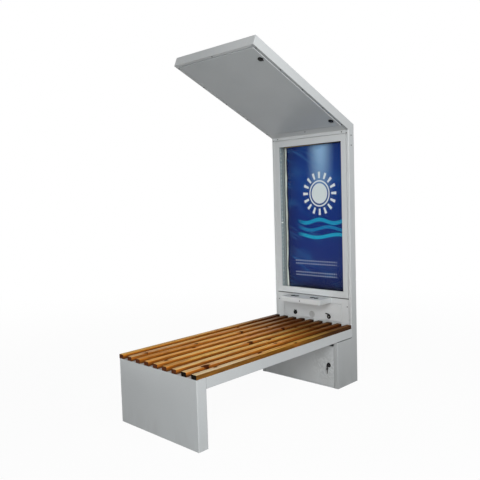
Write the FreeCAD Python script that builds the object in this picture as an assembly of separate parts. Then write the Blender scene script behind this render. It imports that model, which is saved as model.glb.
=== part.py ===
"""Solar charging bench: a slatted seat between a box leg and a light box tower, with a solar canopy.

The seat runs along X, with the leg at -X and the tower at +X, and people sit facing -Y or +Y.
The origin is on the ground, at the middle of the overall box. Sizes are in millimetres.
"""

import FreeCAD, Part
import math
import os

Vector = FreeCAD.Vector

# Overall sizes
width = 750.0
seat_length = 1596.0  # leg's outer face to the tower's front face
tower_depth = 72.0
frame_top = 422.0  # underside of the slats
leg_thickness = 76.0
sheet = 2.0
bend_radius = 5.0
running_gap = 2.0  # round every door and flap
seat_gap = 0.3  # between pieces that lie against each other
edge_radius = 1.8  # on the rims of sheet openings and on the console
past = 1.0  # how far a cutting solid runs past the face it opens
cutter_run = 290.0  # how far a wedge that trims a slanted end runs on along it
cutter_reach = 400.0  # and away from it
close = 1e-6  # lengths under this count as nothing

# Screws
screw_head_radius = 4.5
screw_head_height = 2.4
screw_shank_radius = 2.4
screw_shank_length = 9.0
screw_hole_clearance = 0.15
screw_head_rounding = 1.4
screw_socket_radius = 1.6
screw_socket_depth = 1.3

# Seat
slat_count = 9
slat_width = 44.0
slat_thickness = 28.0
slat_edge_radius = 5.0
slat_tower_gap = 8.0
rail_height = 69.0
rail_width = 40.0
rail_sheet = 3.0
bearer_count = 4
bearer_leg = 40.0
bearer_sheet = 4.0
bearer_bend_radius = 6.0
bearer_inset = 60.0  # from the leg and from the tower
slat_screw_radius = 2.0
slat_screw_depth = 20.0
slat_screw_head_radius = 4.5
slat_screw_head_height = 3.0
slat_pilot_clearance = 0.1

# Leg
leg_flange = 22.0
anchor_plate_thickness = 6.0
anchor_hole_radius = 7.0
anchor_edge = 75.0  # anchor holes in from the sides
leg_screw_first_height = 60.0
leg_screw_count = 4
leg_corner_notch = 8.0
leg_corner_notch_depth = 3.0

# Tower and cabinet carcass
cabinet_reach = 197.0  # cabinet's front face, ahead of the tower's front face
cabinet_seam = 3.0  # between the cabinet's side and the rail above it
tower_stile = 25.0
cabinet_stile = 36.0
back_flange = 22.0
frame_lip = 16.0  # depth of every lip that a cam can hold behind
tower_front_height = 1930.0
back_screw_count = 6
back_screw_first_height = 70.0
neck_screw_drops = (41.0, 115.0)  # below the tower's front top edge
louvre_count = 7
louvre_length = 180.0
louvre_height = 6.0
louvre_rounding = 2.9
louvre_pitch = 16.0
louvre_first_height = 150.0
louvre_offset = 150.0  # each bank's middle from the centre plane
floor_thickness = 4.0
floor_anchor_x_spacing = 180.0
deck_drop = 2.0  # deck below the cabinet side's top edge

# Light box door
head_height = 26.0  # tower's front edge above the light box door
door_bottom_height = 648.0
door_return = 12.0
window_side = 45.0  # door's frame beside, below and above the window
window_sill = 51.0
window_head = 53.0
window_return = 8.0
door_corner_radius = 2.5
glazing_thickness = 4.0
glazing_overlap = 9.0
pivot_inset = 7.0  # pivot axis behind the frame's face and in from the hinge edge
pivot_radius = 3.0
pivot_clearance = 0.08
pivot_collar_height = 3.0
pivot_length = 18.0
head_lip = 22.0
head_screw_edge = 35.0  # in from the door's side
stile_screw_edge = 19.0
stile_screw_drop = 23.0

# Light box inside
tray_sheet = 1.5
tray_margin = 13.0  # tray's walls outside the window
tray_front_gap = 1.0
tray_floor_rise = 8.0  # tray's floor ahead of its flange
poster_side = 16.0  # inside the window, beside the poster
poster_overlap = 8.0  # behind the door's frame, above and below the window
poster_thickness = 1.0
led_bar_width = 20.0
led_bar_height = 9.0
led_bar_rounding = 8.1
led_bar_end_gap = 12.0

# Fascia, service flap and console
flap_side = 67.0  # in from the stile
flap_above_seat = 8.0
flap_drop = 48.0  # below the fascia's top
flap_return = 12.0
fascia_screw_edge = 13.0  # in from the stile
fascia_screw_drop = 60.0
fascia_screw_rise = 44.0  # above the cabinet's deck
flap_lock_side = 117.0  # in from the flap's side
flap_lock_rise = 32.0  # above the flap's lower edge
grille_rings = 4
grille_ring_pitch = 6.0
grille_hole_radius = 1.5
speaker_radius = 30.0
speaker_flange = 4.0
basket_depth = 13.0
basket_front_radius = 27.0
basket_back_radius = 16.5
magnet_radius = 18.0
magnet_depth = 9.0
console_half_width = 190.0
console_reach = 158.0
console_drop = 1.0  # below the fascia's top
console_height = 40.0
console_sheet = 2.0
console_corner_radius = 6.0
console_screw_drop = 24.0
console_lip_height = 30.0
console_lip_width = 27.0
usb_pair_y = 95.0
usb_pair_spacing = 38.0
usb_from_tower = 94.0
usb_flange_radius = 19.6
usb_flange_height = 2.0
usb_flange_rounding = 1.2
usb_body_radius = 14.5
usb_body_length = 24.0
usb_slot_length = 15.0
usb_slot_width = 5.6
usb_slot_depth = 17.0
usb_rim_radius = 13.5
usb_rim_depth = 0.8

# Cabinet door
cabinet_door_bottom = 10.0
cabinet_lock_edge = 42.0
cabinet_lock_height = 171.0
lintel_height = 12.0
vent_height = 17.0  # slot between the lintel and the door
lintel_lip = 20.0
pivot_tab_width = 40.0

# Canopy
canopy_angle = 23.3  # above the horizontal, in degrees
canopy_length = 1130.0
canopy_thickness = 66.0
canopy_rim = 21.0
canopy_tower_rim = 68.0
canopy_screw_count = 5
canopy_screw_first = 82.0
canopy_screw_last = 40.0  # from the free edge
canopy_screw_edge = 11.0
canopy_tower_screw = 44.0
hatch_proud = 3.0  # hatch's face below the rim
hatch_gap = 4.5
hatch_lock_edge = 32.0
hatch_lock_near = 158.0
hatch_lock_end_gap = 141.0  # far lock from the free edge
hatch_lock_turn = 30.0  # cap's hinge, from the near edge towards the tower, in degrees
rib_near = 360.0
rib_end_gap = 340.0  # far rib from the free edge
rib_width = 40.0
rib_sheet = 2.0
rib_swing_gap = 1.8  # above the lip, for the hatch's edge as it swings
pv_frame_height = 30.0
pv_frame_wall = 11.0
pv_frame_sheet = 2.0
pv_frame_foot = 22.0
pv_frame_lip = 1.0
pv_edge_gap = 4.0
pv_neck_gap = 58.0
pv_laminate_thickness = 4.0
junction_box_length = 90.0
junction_box_width = 110.0
junction_box_height = 20.0
junction_box_along = 170.0
junction_box_y = -150.0
neck_plate = 6.0
neck_tower_drop = 150.0
neck_canopy_reach = 250.0
neck_margin = 5.0
neck_arm_height = 24.0

# Cam locks
lock_flange_radius = 17.0
lock_flange_height = 5.0
lock_flange_rounding = 1.25
lock_body_radius = 9.5
lock_hole_clearance = 0.5
lock_nut_radius = 13.0
lock_nut_height = 4.0
plug_radius = 6.5
plug_clearance = 0.08
plug_recess = 0.6
keyway_width = 2.4
keyway_length = 9.0
keyway_depth = 16.0
cam_width = 14.0
cam_sheet = 2.5
cam_nut_radius = 5.0
cam_nut_height = 3.0
cam_rounding = 4.2
cam_overlap = 8.0  # cam's hold behind the frame
cap_radius = 17.0
cap_thickness = 2.6
cap_rounding = 1.0
cap_flat = 5.7  # from the hinge's axis to the disc's straight edge
cap_gap = 0.3
cap_barrel_radius = 2.2
cap_barrel_overhang = 1.1  # hinge's axis outside the bezel's edge
cap_hinge_pin_radius = 1.0
cap_hinge_clearance = 0.06
cap_ear_width = 4.0
cap_barrel_length = 12.0
cap_open_angle = 120.0

# Keys
key_thickness = 2.0
key_blade_width = 7.0
key_blade_length = 13.0
key_bow_radius = 11.0
key_bow_thickness = 3.2
key_hole_radius = 3.0
key_hole_offset = 6.0  # from the bow's middle
key_hole_height = 18.0  # from the shoulder
key_blade_root = 3.0  # inside the bow
key_ring_radius = 7.0
key_ring_wire = 0.8
key_ring_slack = 0.4
spare_blade_length = 26.0

# Battery compartment
battery_length = 330.0
battery_depth = 170.0
battery_height = 215.0
battery_y = 70.0
battery_back_gap = 12.0
battery_corner_radius = 6.0
battery_terminal_radius = 8.0
battery_terminal_height = 8.0
battery_terminal_spacing = 250.0
controller_width = 170.0
controller_height = 110.0
controller_depth = 42.0
controller_edge_gap = 160.0
controller_bottom = 190.0
fin_depth = 6.0
fin_gap = 5.0
fin_pitch = 12.0
fin_gap_count = 9
cable_radius = 4.0
cable_bend = 32.0
cable_x = 38.0  # behind the tower's front face
cable_side_gap = 30.0  # from the side plate
cable_box_height = 10.0  # above the panel frame's foot, where it leaves the junction box
cable_box_run = 20.0  # straight out of the junction box
cable_frame_drop = 12.0  # below the panel frame
cable_frame_before = 10.0
cable_frame_after = 40.0
cable_frame_rise = 6.0
cable_neck_shift = 40.0  # sideways, from the neck to its run beside the light box
cable_neck_drop = 25.0
cable_neck_turn_drop = 110.0
cable_turn_height = 190.0  # above the charge controller
cable_drop_height = 110.0
cable_controller_shift = 40.0

# Derived places
half = width / 2
overall_length = seat_length + tower_depth + screw_head_height
leg_outer_x = -overall_length / 2
leg_inner_x = leg_outer_x + leg_thickness
tower_front_x = leg_outer_x + seat_length
tower_back_x = tower_front_x + tower_depth
cabinet_front_x = tower_front_x - cabinet_reach
rail_bottom = frame_top - rail_height
cabinet_side_top = rail_bottom - cabinet_seam
seat_top = frame_top + slat_thickness
slat_pitch = (width - slat_width) / (slat_count - 1)
stile_edge = half - tower_stile
door_half_width = stile_edge - running_gap
door_top_height = tower_front_height - head_height
window_half_width = door_half_width - window_side
window_bottom = door_bottom_height + window_sill
window_top = door_top_height - window_head
poster_half_width = window_half_width - poster_side
fascia_top = door_bottom_height - running_gap
console_top = fascia_top - console_drop
console_screw_height = console_top - console_screw_drop
flap_half_width = stile_edge - flap_side
flap_lock_y = flap_half_width - flap_lock_side
flap_bottom = seat_top + flap_above_seat
flap_top = fascia_top - flap_drop
flap_lock_height = flap_bottom + flap_lock_rise
deck_top = cabinet_side_top - deck_drop
fascia_screw_heights = (fascia_top - fascia_screw_drop, deck_top + fascia_screw_rise)
fascia_screw_y = stile_edge - fascia_screw_edge
head_screw_y = door_half_width - head_screw_edge
stile_screw_y = half - stile_screw_edge
cabinet_door_half = half - cabinet_stile - running_gap
cabinet_door_top = deck_top - lintel_height - vent_height - running_gap
cabinet_lock_y = cabinet_door_half - cabinet_lock_edge
anchor_spacing = width - 2 * anchor_edge
hatch_half_width = half - canopy_rim - hatch_gap
hatch_near = canopy_tower_rim + hatch_gap
hatch_far = canopy_length - canopy_rim - hatch_gap
canopy_screw_pitch = (canopy_length - canopy_screw_first - canopy_screw_last) / (canopy_screw_count - 1)
hatch_lock_along = (hatch_lock_near, canopy_length - hatch_lock_end_gap)
rib_along = (rib_near, canopy_length - rib_end_gap)
canopy_lip = frame_lip - hatch_proud
rib_bottom = canopy_lip + rib_swing_gap
pv_bottom = canopy_thickness - pv_frame_height
pv_far_x = sheet + pv_edge_gap - canopy_length
pv_near_x = -pv_neck_gap
controller_y = controller_edge_gap - half
pivot_collar_radius = pivot_inset - sheet - seat_gap
lock_body_length = frame_lip
tray_front_x = tower_front_x + door_return + tray_front_gap
tray_back_x = tower_back_x - 2 * sheet - seat_gap
tray_floor_x = tray_back_x - tray_floor_rise - tray_sheet
tray_half_width = window_half_width + tray_margin

tilt = math.radians(canopy_angle)
# The tower and the canopy meet on a plane from the inner corner to the outer one.
neck_rise = (canopy_thickness - tower_depth * math.sin(tilt)) / math.cos(tilt)
neck_top = tower_front_height + neck_rise
canopy_place = FreeCAD.Placement(
    Vector(tower_front_x, 0, tower_front_height),
    FreeCAD.Rotation(Vector(0, 1, 0), canopy_angle),
)


def box(x, y, z):
    """Box between the given pairs of x, y and z."""
    low = Vector(min(x), min(y), min(z))
    return Part.makeBox(max(x) - min(x), max(y) - min(y), max(z) - min(z), low)


def rod(start, axis, radius, length):
    return Part.makeCylinder(radius, length, Vector(*start), Vector(*axis))


def joined(shapes):
    """One solid from touching or overlapping pieces."""
    result = shapes[0].multiFuse(shapes[1:]) if len(shapes) > 1 else shapes[0]
    return result.removeSplitter()


def mirrored(shape):
    """The same piece on the other side of the centre plane."""
    return shape.mirror(Vector(0, 0, 0), Vector(0, 1, 0))


def spread(first, last, count):
    step = (last - first) / (count - 1)
    return [first + i * step for i in range(count)]


def on_plane(axis, u, v):
    """A point of a profile that is drawn square to the given axis."""
    return {"x": Vector(0, u, v), "y": Vector(u, 0, v), "z": Vector(u, v, 0)}[axis]


def rounded_face(points, radii, axis):
    """Closed outline with an arc at each corner whose radius isn't zero."""
    count = len(points)
    corners = []
    for i, (point, radius) in enumerate(zip(points, radii)):
        here = on_plane(axis, *point)
        before = on_plane(axis, *points[i - 1])
        after = on_plane(axis, *points[(i + 1) % count])
        to_before = (before - here).normalize()
        to_after = (after - here).normalize()
        if radius <= 0:
            corners.append((here, None, here))
            continue
        half_angle = to_before.getAngle(to_after) / 2
        setback = radius / math.tan(half_angle)
        inward = (to_before + to_after).normalize()
        middle = here + inward * (radius / math.sin(half_angle) - radius)
        corners.append((here + to_before * setback, middle, here + to_after * setback))
    edges = []
    for i, (start, middle, end) in enumerate(corners):
        if middle is not None:
            edges.append(Part.Arc(start, middle, end).toShape())
        following = corners[(i + 1) % count][0]
        if end.distanceToPoint(following) > close:
            edges.append(Part.LineSegment(end, following).toShape())
    return Part.Face(Part.Wire(edges))


def pushed(face, axis, low, high):
    """Face drawn square to an axis, moved to low and extruded to high."""
    direction = {"x": Vector(1, 0, 0), "y": Vector(0, 1, 0), "z": Vector(0, 0, 1)}[axis]
    face.translate(direction * low)
    return face.extrude(direction * (high - low))


def folded(points, thickness, radius, axis, low, high):
    """Sheet folded along an open outer line that always bends the same way, extruded along an axis."""
    turn = 0.0
    for a, b, c in zip(points, points[1:], points[2:]):
        turn += (b[0] - a[0]) * (c[1] - b[1]) - (b[1] - a[1]) * (c[0] - b[0])
    side = 1.0 if turn > 0 else -1.0
    normals = []
    for a, b in zip(points, points[1:]):
        length = math.hypot(b[0] - a[0], b[1] - a[1])
        normals.append((-side * (b[1] - a[1]) / length, side * (b[0] - a[0]) / length))
    inner = [(points[0][0] + thickness * normals[0][0], points[0][1] + thickness * normals[0][1])]
    for i in range(1, len(points) - 1):
        (ax, ay), (bx, by) = normals[i - 1], normals[i]
        scale = thickness / (1 + ax * bx + ay * by)
        inner.append((points[i][0] + (ax + bx) * scale, points[i][1] + (ay + by) * scale))
    last = normals[-1]
    inner.append((points[-1][0] + thickness * last[0], points[-1][1] + thickness * last[1]))
    bends = len(points) - 2
    radii = [0] + [radius] * bends + [0]
    inner_radii = [0] + [max(radius - thickness, 0)] * bends + [0]
    face = rounded_face(points + inner[::-1], radii + inner_radii, axis)
    return pushed(face, axis, low, high)


def rounded_plate(x, y, z, radius, axis):
    """Box whose four edges along the given axis are rounded."""
    spans = {"x": (y, z, x), "y": (x, z, y), "z": (x, y, z)}[axis]
    (u0, u1), (v0, v1), (low, high) = (sorted(span) for span in spans)
    face = rounded_face([(u0, v0), (u1, v0), (u1, v1), (u0, v1)], [radius] * 4, axis)
    return pushed(face, axis, low, high)


def rounded_edges(shape, radius, wanted):
    """Fillet on the straight edges whose middle passes the test."""
    edges = []
    for edge in shape.Edges:
        middle = edge.valueAt((edge.FirstParameter + edge.LastParameter) / 2)
        if wanted(middle, edge):
            edges.append(edge)
    return shape.makeFillet(radius, edges) if edges else shape


def along(edge, axis):
    """Whether a straight edge runs along the given axis."""
    if not isinstance(edge.Curve, Part.Line):
        return False
    direction = edge.Curve.Direction
    return abs(getattr(direction, axis)) > 0.999


def screw(place, axis):
    """Pan head screw whose head sits on the face at the given place; axis points out of the face."""
    outward = Vector(*axis).normalize()
    head = Part.makeCylinder(screw_head_radius, screw_head_height, Vector(*place), outward)
    top_edges = [
        edge for edge in head.Edges
        if isinstance(edge.Curve, Part.Circle)
        and (edge.Curve.Center - Vector(*place)).dot(outward) > screw_head_height / 2
    ]
    head = head.makeFillet(screw_head_rounding, top_edges)
    shank = Part.makeCylinder(screw_shank_radius, screw_shank_length, Vector(*place), -outward)
    socket_start = Vector(*place) + outward * (screw_head_height - screw_socket_depth)
    socket = Part.makeCylinder(screw_socket_radius, screw_socket_depth, socket_start, outward)
    return head.fuse(shank).cut(socket)


def screw_hole(place, axis):
    outward = Vector(*axis).normalize()
    radius = screw_shank_radius + screw_hole_clearance
    start = Vector(*place) + outward * sheet
    return Part.makeCylinder(radius, 5 * sheet, start, -outward)


def in_canopy(shape):
    """Moves a piece drawn flat, with the tower at x = 0, to its tilted place."""
    moved = shape.copy()
    moved.Placement = canopy_place.multiply(moved.Placement)
    return moved


# Where the screws go: (place, direction out of the face)


def side_screws():
    places = []
    for drop in neck_screw_drops:
        for sign in (-1, 1):
            x = tower_front_x + tower_depth / 2 - screw_head_radius
            places.append(((x, sign * half, tower_front_height - drop), (0, sign, 0)))
    return places


def head_screws():
    height = (door_top_height + running_gap + tower_front_height) / 2
    return [((tower_front_x, sign * head_screw_y, height), (-1, 0, 0)) for sign in (-1, 1)]


def stile_screws():
    height = tower_front_height - stile_screw_drop
    return [((tower_front_x, sign * stile_screw_y, height), (-1, 0, 0)) for sign in (-1, 1)]


def fascia_screws():
    return [
        ((tower_front_x, sign * fascia_screw_y, height), (-1, 0, 0))
        for sign in (-1, 1)
        for height in fascia_screw_heights
    ]


def back_screws():
    heights = spread(back_screw_first_height, neck_top - back_screw_first_height, back_screw_count)
    return [
        ((tower_back_x, sign * (half - back_flange / 2), height), (1, 0, 0))
        for sign in (-1, 1)
        for height in heights
    ]


def leg_screws():
    heights = spread(leg_screw_first_height, frame_top - leg_screw_first_height, leg_screw_count)
    return [
        ((leg_inner_x, sign * (half - leg_flange / 2), height), (1, 0, 0))
        for sign in (-1, 1)
        for height in heights
    ]


def console_screws():
    return [((tower_front_x - console_reach, 0, console_screw_height), (-1, 0, 0))]


def canopy_rim_screws():
    """In the canopy's own flat frame."""
    places = []
    for i in range(canopy_screw_count):
        x = -(canopy_screw_first + i * canopy_screw_pitch)
        for sign in (-1, 1):
            places.append(((x, sign * (half - canopy_screw_edge), 0), (0, 0, -1)))
    places.append(((-(canopy_length - canopy_screw_edge), 0, 0), (0, 0, -1)))
    places.append(((-canopy_tower_screw, 0, 0), (0, 0, -1)))
    return places


def panel_screws():
    groups = side_screws() + head_screws() + stile_screws() + fascia_screws()
    groups += back_screws() + leg_screws() + console_screws()
    solids = [screw(place, axis) for place, axis in groups]
    solids += [in_canopy(screw(place, axis)) for place, axis in canopy_rim_screws()]
    return Part.makeCompound(solids)


def drilled(shape, screws):
    return shape.cut(Part.makeCompound([screw_hole(place, axis) for place, axis in screws]))


# Leg


def leg_shell():
    flange_y = half - leg_flange
    line = [
        (leg_inner_x, -flange_y),
        (leg_inner_x, -half),
        (leg_outer_x, -half),
        (leg_outer_x, half),
        (leg_inner_x, half),
        (leg_inner_x, flange_y),
    ]
    walls = folded(line, sheet, bend_radius, "z", 0, frame_top)
    plan = [(leg_outer_x, -half), (leg_inner_x, -half), (leg_inner_x, half), (leg_outer_x, half)]
    top = pushed(rounded_face(plan, [bend_radius] * 4, "z"), "z", frame_top - sheet, frame_top)
    shell = joined([walls, top])
    for sign in (-1, 1):
        notch = box(
            (leg_outer_x + leg_corner_notch, leg_outer_x + 2 * leg_corner_notch),
            (sign * (half - 2 * sheet), sign * (half + sheet)),
            (frame_top - leg_corner_notch_depth, frame_top + sheet),
        )
        shell = shell.cut(notch)
    return drilled(shell, leg_screws())


def leg_inner_panel():
    x = leg_inner_x - sheet - seat_gap
    side = half - bend_radius - seat_gap
    heights = (anchor_plate_thickness + seat_gap, frame_top - sheet - seat_gap)
    panel = box((x - sheet, x), (-side, side), heights)
    return drilled(panel, leg_screws())


def leg_base_plate():
    x = (leg_outer_x + sheet, leg_inner_x - sheet)
    side = half - sheet
    inner_corner = bend_radius - sheet
    plate = rounded_plate(x, (-side, side), (0, anchor_plate_thickness), inner_corner, "z")
    for sign in (-1, 1):
        place = (sum(x) / 2, sign * anchor_spacing / 2, -past)
        plate = plate.cut(rod(place, (0, 0, 1), anchor_hole_radius, anchor_plate_thickness + 2 * past))
    return plate


# Seat


def slat_y(i):
    return half - slat_width / 2 - i * slat_pitch


def bearer_x():
    """Middle of each bearer's top flange."""
    first = leg_inner_x + bearer_inset
    last = tower_front_x - bearer_inset
    return spread(first, last, bearer_count)


def over_rail(i):
    return i in (0, slat_count - 1)


def slat_screw_hole(x, y, bottom, top):
    radius = slat_screw_radius + slat_pilot_clearance
    return rod((x, y, bottom), (0, 0, 1), radius, top - bottom)


def slat(i):
    y = slat_y(i)
    length = (leg_outer_x, tower_front_x - slat_tower_gap)
    board = box(length, (y - slat_width / 2, y + slat_width / 2), (frame_top, seat_top))
    board = rounded_edges(
        board, slat_edge_radius, lambda p, edge: along(edge, "x") and p.z > seat_top - close
    )
    depth = frame_top + slat_screw_depth
    holes = [slat_screw_hole(x, y, frame_top - past, depth) for x in bearer_x()]
    return board.cut(Part.makeCompound(holes))


def rail(sign):
    inner = half - rail_width
    line = [
        (sign * inner, frame_top),
        (sign * half, frame_top),
        (sign * half, rail_bottom),
        (sign * inner, rail_bottom),
    ]
    channel = folded(line, rail_sheet, bend_radius, "x", leg_inner_x, tower_front_x)
    y = sign * slat_y(0)
    holes = [slat_screw_hole(x, y, frame_top - 2 * rail_sheet, frame_top + past) for x in bearer_x()]
    return channel.cut(Part.makeCompound(holes))


def bearers():
    reach = half - rail_width
    solids = []
    for x in bearer_x():
        left = x - bearer_leg / 2
        line = [(left + bearer_leg, frame_top), (left, frame_top), (left, frame_top - bearer_leg)]
        angle = folded(line, bearer_sheet, bearer_bend_radius, "y", -reach, reach)
        holes = [
            slat_screw_hole(x, slat_y(i), frame_top - 2 * bearer_sheet, frame_top + past)
            for i in range(slat_count)
            if not over_rail(i)
        ]
        solids.append(angle.cut(Part.makeCompound(holes)))
    return Part.makeCompound(solids)


def slat_screws():
    solids = []
    for x in bearer_x():
        for i in range(slat_count):
            under = frame_top - (rail_sheet if over_rail(i) else bearer_sheet)
            y = slat_y(i)
            top = frame_top + slat_screw_depth - past
            head = rod((x, y, under), (0, 0, -1), slat_screw_head_radius, slat_screw_head_height)
            shank = rod((x, y, under), (0, 0, 1), slat_screw_radius, top - under)
            solids.append(head.fuse(shank))
    return Part.makeCompound(solids)


# Tower and cabinet carcass


def above_neck():
    """Everything above the plane where the tower and the canopy meet."""
    slope = neck_rise / tower_depth
    left, right = tower_front_x - cutter_run, tower_back_x + cutter_run
    points = [
        (left, tower_front_height - cutter_run * slope),
        (right, neck_top + cutter_run * slope),
        (right, neck_top + cutter_reach),
        (left, neck_top + cutter_reach),
    ]
    face = rounded_face(points, [0] * 4, "y")
    return pushed(face, "y", -width, width)


def side_plate(sign):
    tower_line = [
        (tower_front_x + frame_lip, sign * stile_edge),
        (tower_front_x, sign * stile_edge),
        (tower_front_x, sign * half),
        (tower_back_x, sign * half),
        (tower_back_x, sign * (half - back_flange)),
    ]
    cabinet_edge = half - cabinet_stile
    cabinet_line = [
        (cabinet_front_x + frame_lip, sign * cabinet_edge),
        (cabinet_front_x, sign * cabinet_edge),
        (cabinet_front_x, sign * half),
        (tower_back_x, sign * half),
        (tower_back_x, sign * (half - back_flange)),
    ]
    tower_part = folded(tower_line, sheet, bend_radius, "z", cabinet_side_top, neck_top + sheet)
    tower_part = tower_part.cut(above_neck())
    cabinet_part = folded(cabinet_line, sheet, bend_radius, "z", 0, cabinet_side_top)
    plate = joined([tower_part, cabinet_part])
    return drilled(plate, side_screws() + stile_screws() + back_screws())


def back_panel():
    x = tower_back_x - sheet
    side = half - bend_radius - seat_gap
    panel = box((x - sheet, x), (-side, side), (floor_thickness + seat_gap, neck_top + sheet))
    panel = panel.cut(above_neck().translated(Vector(0, 0, -2 * sheet)))
    slots = []
    for bank in (-louvre_offset, louvre_offset):
        for i in range(louvre_count):
            z = louvre_first_height + i * louvre_pitch
            ends = (bank - louvre_length / 2, bank + louvre_length / 2)
            slots.append(
                rounded_plate(
                    (x - 2 * sheet, x + sheet), ends, (z, z + louvre_height), louvre_rounding, "x"
                )
            )
    return drilled(panel.cut(Part.makeCompound(slots)), back_screws())


def tower_head():
    bottom = door_top_height + running_gap
    line = [
        (tower_front_x, tower_front_height),
        (tower_front_x, bottom),
        (tower_front_x + head_lip, bottom),
    ]
    side = stile_edge - seat_gap
    strip = folded(line, sheet, door_corner_radius, "y", -side, side)
    strip = drilled(strip, head_screws())
    return strip.cut(pivot_socket(door_pivots()[1]))


def cabinet_floor():
    x = (cabinet_front_x + sheet, tower_back_x - sheet)
    side = half - sheet
    plate = rounded_plate(x, (-side, side), (0, floor_thickness), bend_radius - sheet, "z")
    stile_room_x = (cabinet_front_x, cabinet_front_x + frame_lip + seat_gap)
    stile_room_z = (-past, floor_thickness + past)
    for sign in (-1, 1):
        stile_room_y = (sign * (half - cabinet_stile - seat_gap), sign * half)
        plate = plate.cut(box(stile_room_x, stile_room_y, stile_room_z))
    middle = sum(x) / 2
    for dx in (-floor_anchor_x_spacing / 2, floor_anchor_x_spacing / 2):
        for dy in (-anchor_spacing / 2, anchor_spacing / 2):
            place = (middle + dx, dy, -past)
            plate = plate.cut(rod(place, (0, 0, 1), anchor_hole_radius, floor_thickness + 2 * past))
    return plate.cut(pivot_socket(cabinet_pivots()[0]))


def cabinet_top():
    """Deck under the seat, folded down at the front, with a tab for the door's upper pivot."""
    lintel_bottom = cabinet_door_top + running_gap
    front = cabinet_front_x
    line = [
        (tower_front_x, deck_top),
        (front, deck_top),
        (front, lintel_bottom),
        (front + lintel_lip, lintel_bottom),
    ]
    side = half - cabinet_stile - seat_gap
    deck = folded(line, sheet, door_corner_radius, "y", -side, side)
    vent_y = (-side - past, side - pivot_tab_width)
    vent_z = (lintel_bottom - past, deck_top - lintel_height)
    deck = deck.cut(box((front - past, front + lintel_lip + past), vent_y, vent_z))
    return deck.cut(pivot_socket(cabinet_pivots()[1]))


# Doors and their pivots


def pan(x, y, z, depth):
    """Door blank facing -X: a face with returns of the given depth all round."""
    outer = box((x, x + depth), y, z)
    outer = rounded_edges(outer, door_corner_radius, lambda p, edge: abs(p.x - x) < close)
    inner_y = (min(y) + sheet, max(y) - sheet)
    inner_z = (min(z) + sheet, max(z) - sheet)
    return outer.cut(box((x + sheet, x + depth + past), inner_y, inner_z))


def pivot(place, axis):
    """Pin through a frame's lip into the door: it starts on the lip's far side, at its collar."""
    start = Vector(*place)
    outward = Vector(*axis)
    pin = Part.makeCylinder(pivot_radius, pivot_length, start, outward)
    collar = Part.makeCylinder(pivot_collar_radius, pivot_collar_height, start, -outward)
    return pin.fuse(collar)


def pivot_socket(pin_place):
    """Hole for a pin, through whatever lip or return lies along it."""
    place, axis = pin_place
    start = Vector(*place) - Vector(*axis) * sheet
    length = sheet + pivot_length
    return Part.makeCylinder(pivot_radius + pivot_clearance, length, start, Vector(*axis))


def door_pivots():
    x = tower_front_x + pivot_inset
    y = door_half_width - pivot_inset
    low = fascia_top - sheet
    high = door_top_height + running_gap + sheet
    return [((x, y, low), (0, 0, 1)), ((x, y, high), (0, 0, -1))]


def cabinet_pivots():
    x = cabinet_front_x + pivot_inset
    y = cabinet_door_half - pivot_inset
    high = cabinet_door_top + running_gap + sheet
    return [((x, y, 0), (0, 0, 1)), ((x, y, high), (0, 0, -1))]


def flap_pivots():
    x = tower_front_x + pivot_inset
    z = flap_top - pivot_inset
    y = flap_half_width + running_gap + sheet
    return [((x, -y, z), (0, 1, 0)), ((x, y, z), (0, -1, 0))]


def hatch_pivots():
    """In the canopy's own flat frame."""
    y = hatch_half_width - pivot_inset
    near = -(canopy_tower_rim - sheet)
    far = -(canopy_length - canopy_rim + sheet)
    return [((near, y, pivot_inset), (-1, 0, 0)), ((far, y, pivot_inset), (1, 0, 0))]


def cabinet_floor_pin():
    """The lower pin of the cabinet door stands in the floor plate, with its collar on top."""
    place, axis = cabinet_pivots()[0]
    start = Vector(*place)
    reach = cabinet_door_bottom + sheet + pivot_length / 2
    pin = Part.makeCylinder(pivot_radius, reach, start, Vector(*axis))
    seat = start + Vector(*axis) * floor_thickness
    collar = Part.makeCylinder(pivot_collar_radius, pivot_collar_height, seat, Vector(*axis))
    return pin.fuse(collar)


def pivot_pins():
    solids = [pivot(place, axis) for place, axis in door_pivots() + flap_pivots()]
    solids += [cabinet_floor_pin(), pivot(*cabinet_pivots()[1])]
    solids += [in_canopy(pivot(place, axis)) for place, axis in hatch_pivots()]
    return Part.makeCompound(solids)


def light_box_door():
    side = (-door_half_width, door_half_width)
    door = pan(tower_front_x, side, (door_bottom_height, door_top_height), door_return)
    window_y = (-window_half_width, window_half_width)
    window_z = (window_bottom, window_top)
    ring_y = (-window_half_width - sheet, window_half_width + sheet)
    ring_z = (window_bottom - sheet, window_top + sheet)
    ring = box((tower_front_x, tower_front_x + window_return), ring_y, ring_z)
    opening = box((tower_front_x - past, tower_front_x + door_return), window_y, window_z)
    door = joined([door, ring]).cut(opening)

    def on_window(p, edge):
        across = abs(p.y) < window_half_width + past
        return abs(p.x - tower_front_x) < close and across and abs(p.z - window_middle) < window_half_height

    window_middle = (window_bottom + window_top) / 2
    window_half_height = (window_top - window_bottom) / 2 + past
    door = rounded_edges(door, edge_radius, on_window)
    for pin_place in door_pivots():
        door = door.cut(pivot_socket(pin_place))
    return door


def door_glazing():
    x = tower_front_x + window_return + seat_gap
    y = window_half_width + glazing_overlap
    z = (window_bottom - glazing_overlap, window_top + glazing_overlap)
    return box((x, x + glazing_thickness), (-y, y), z)


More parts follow.
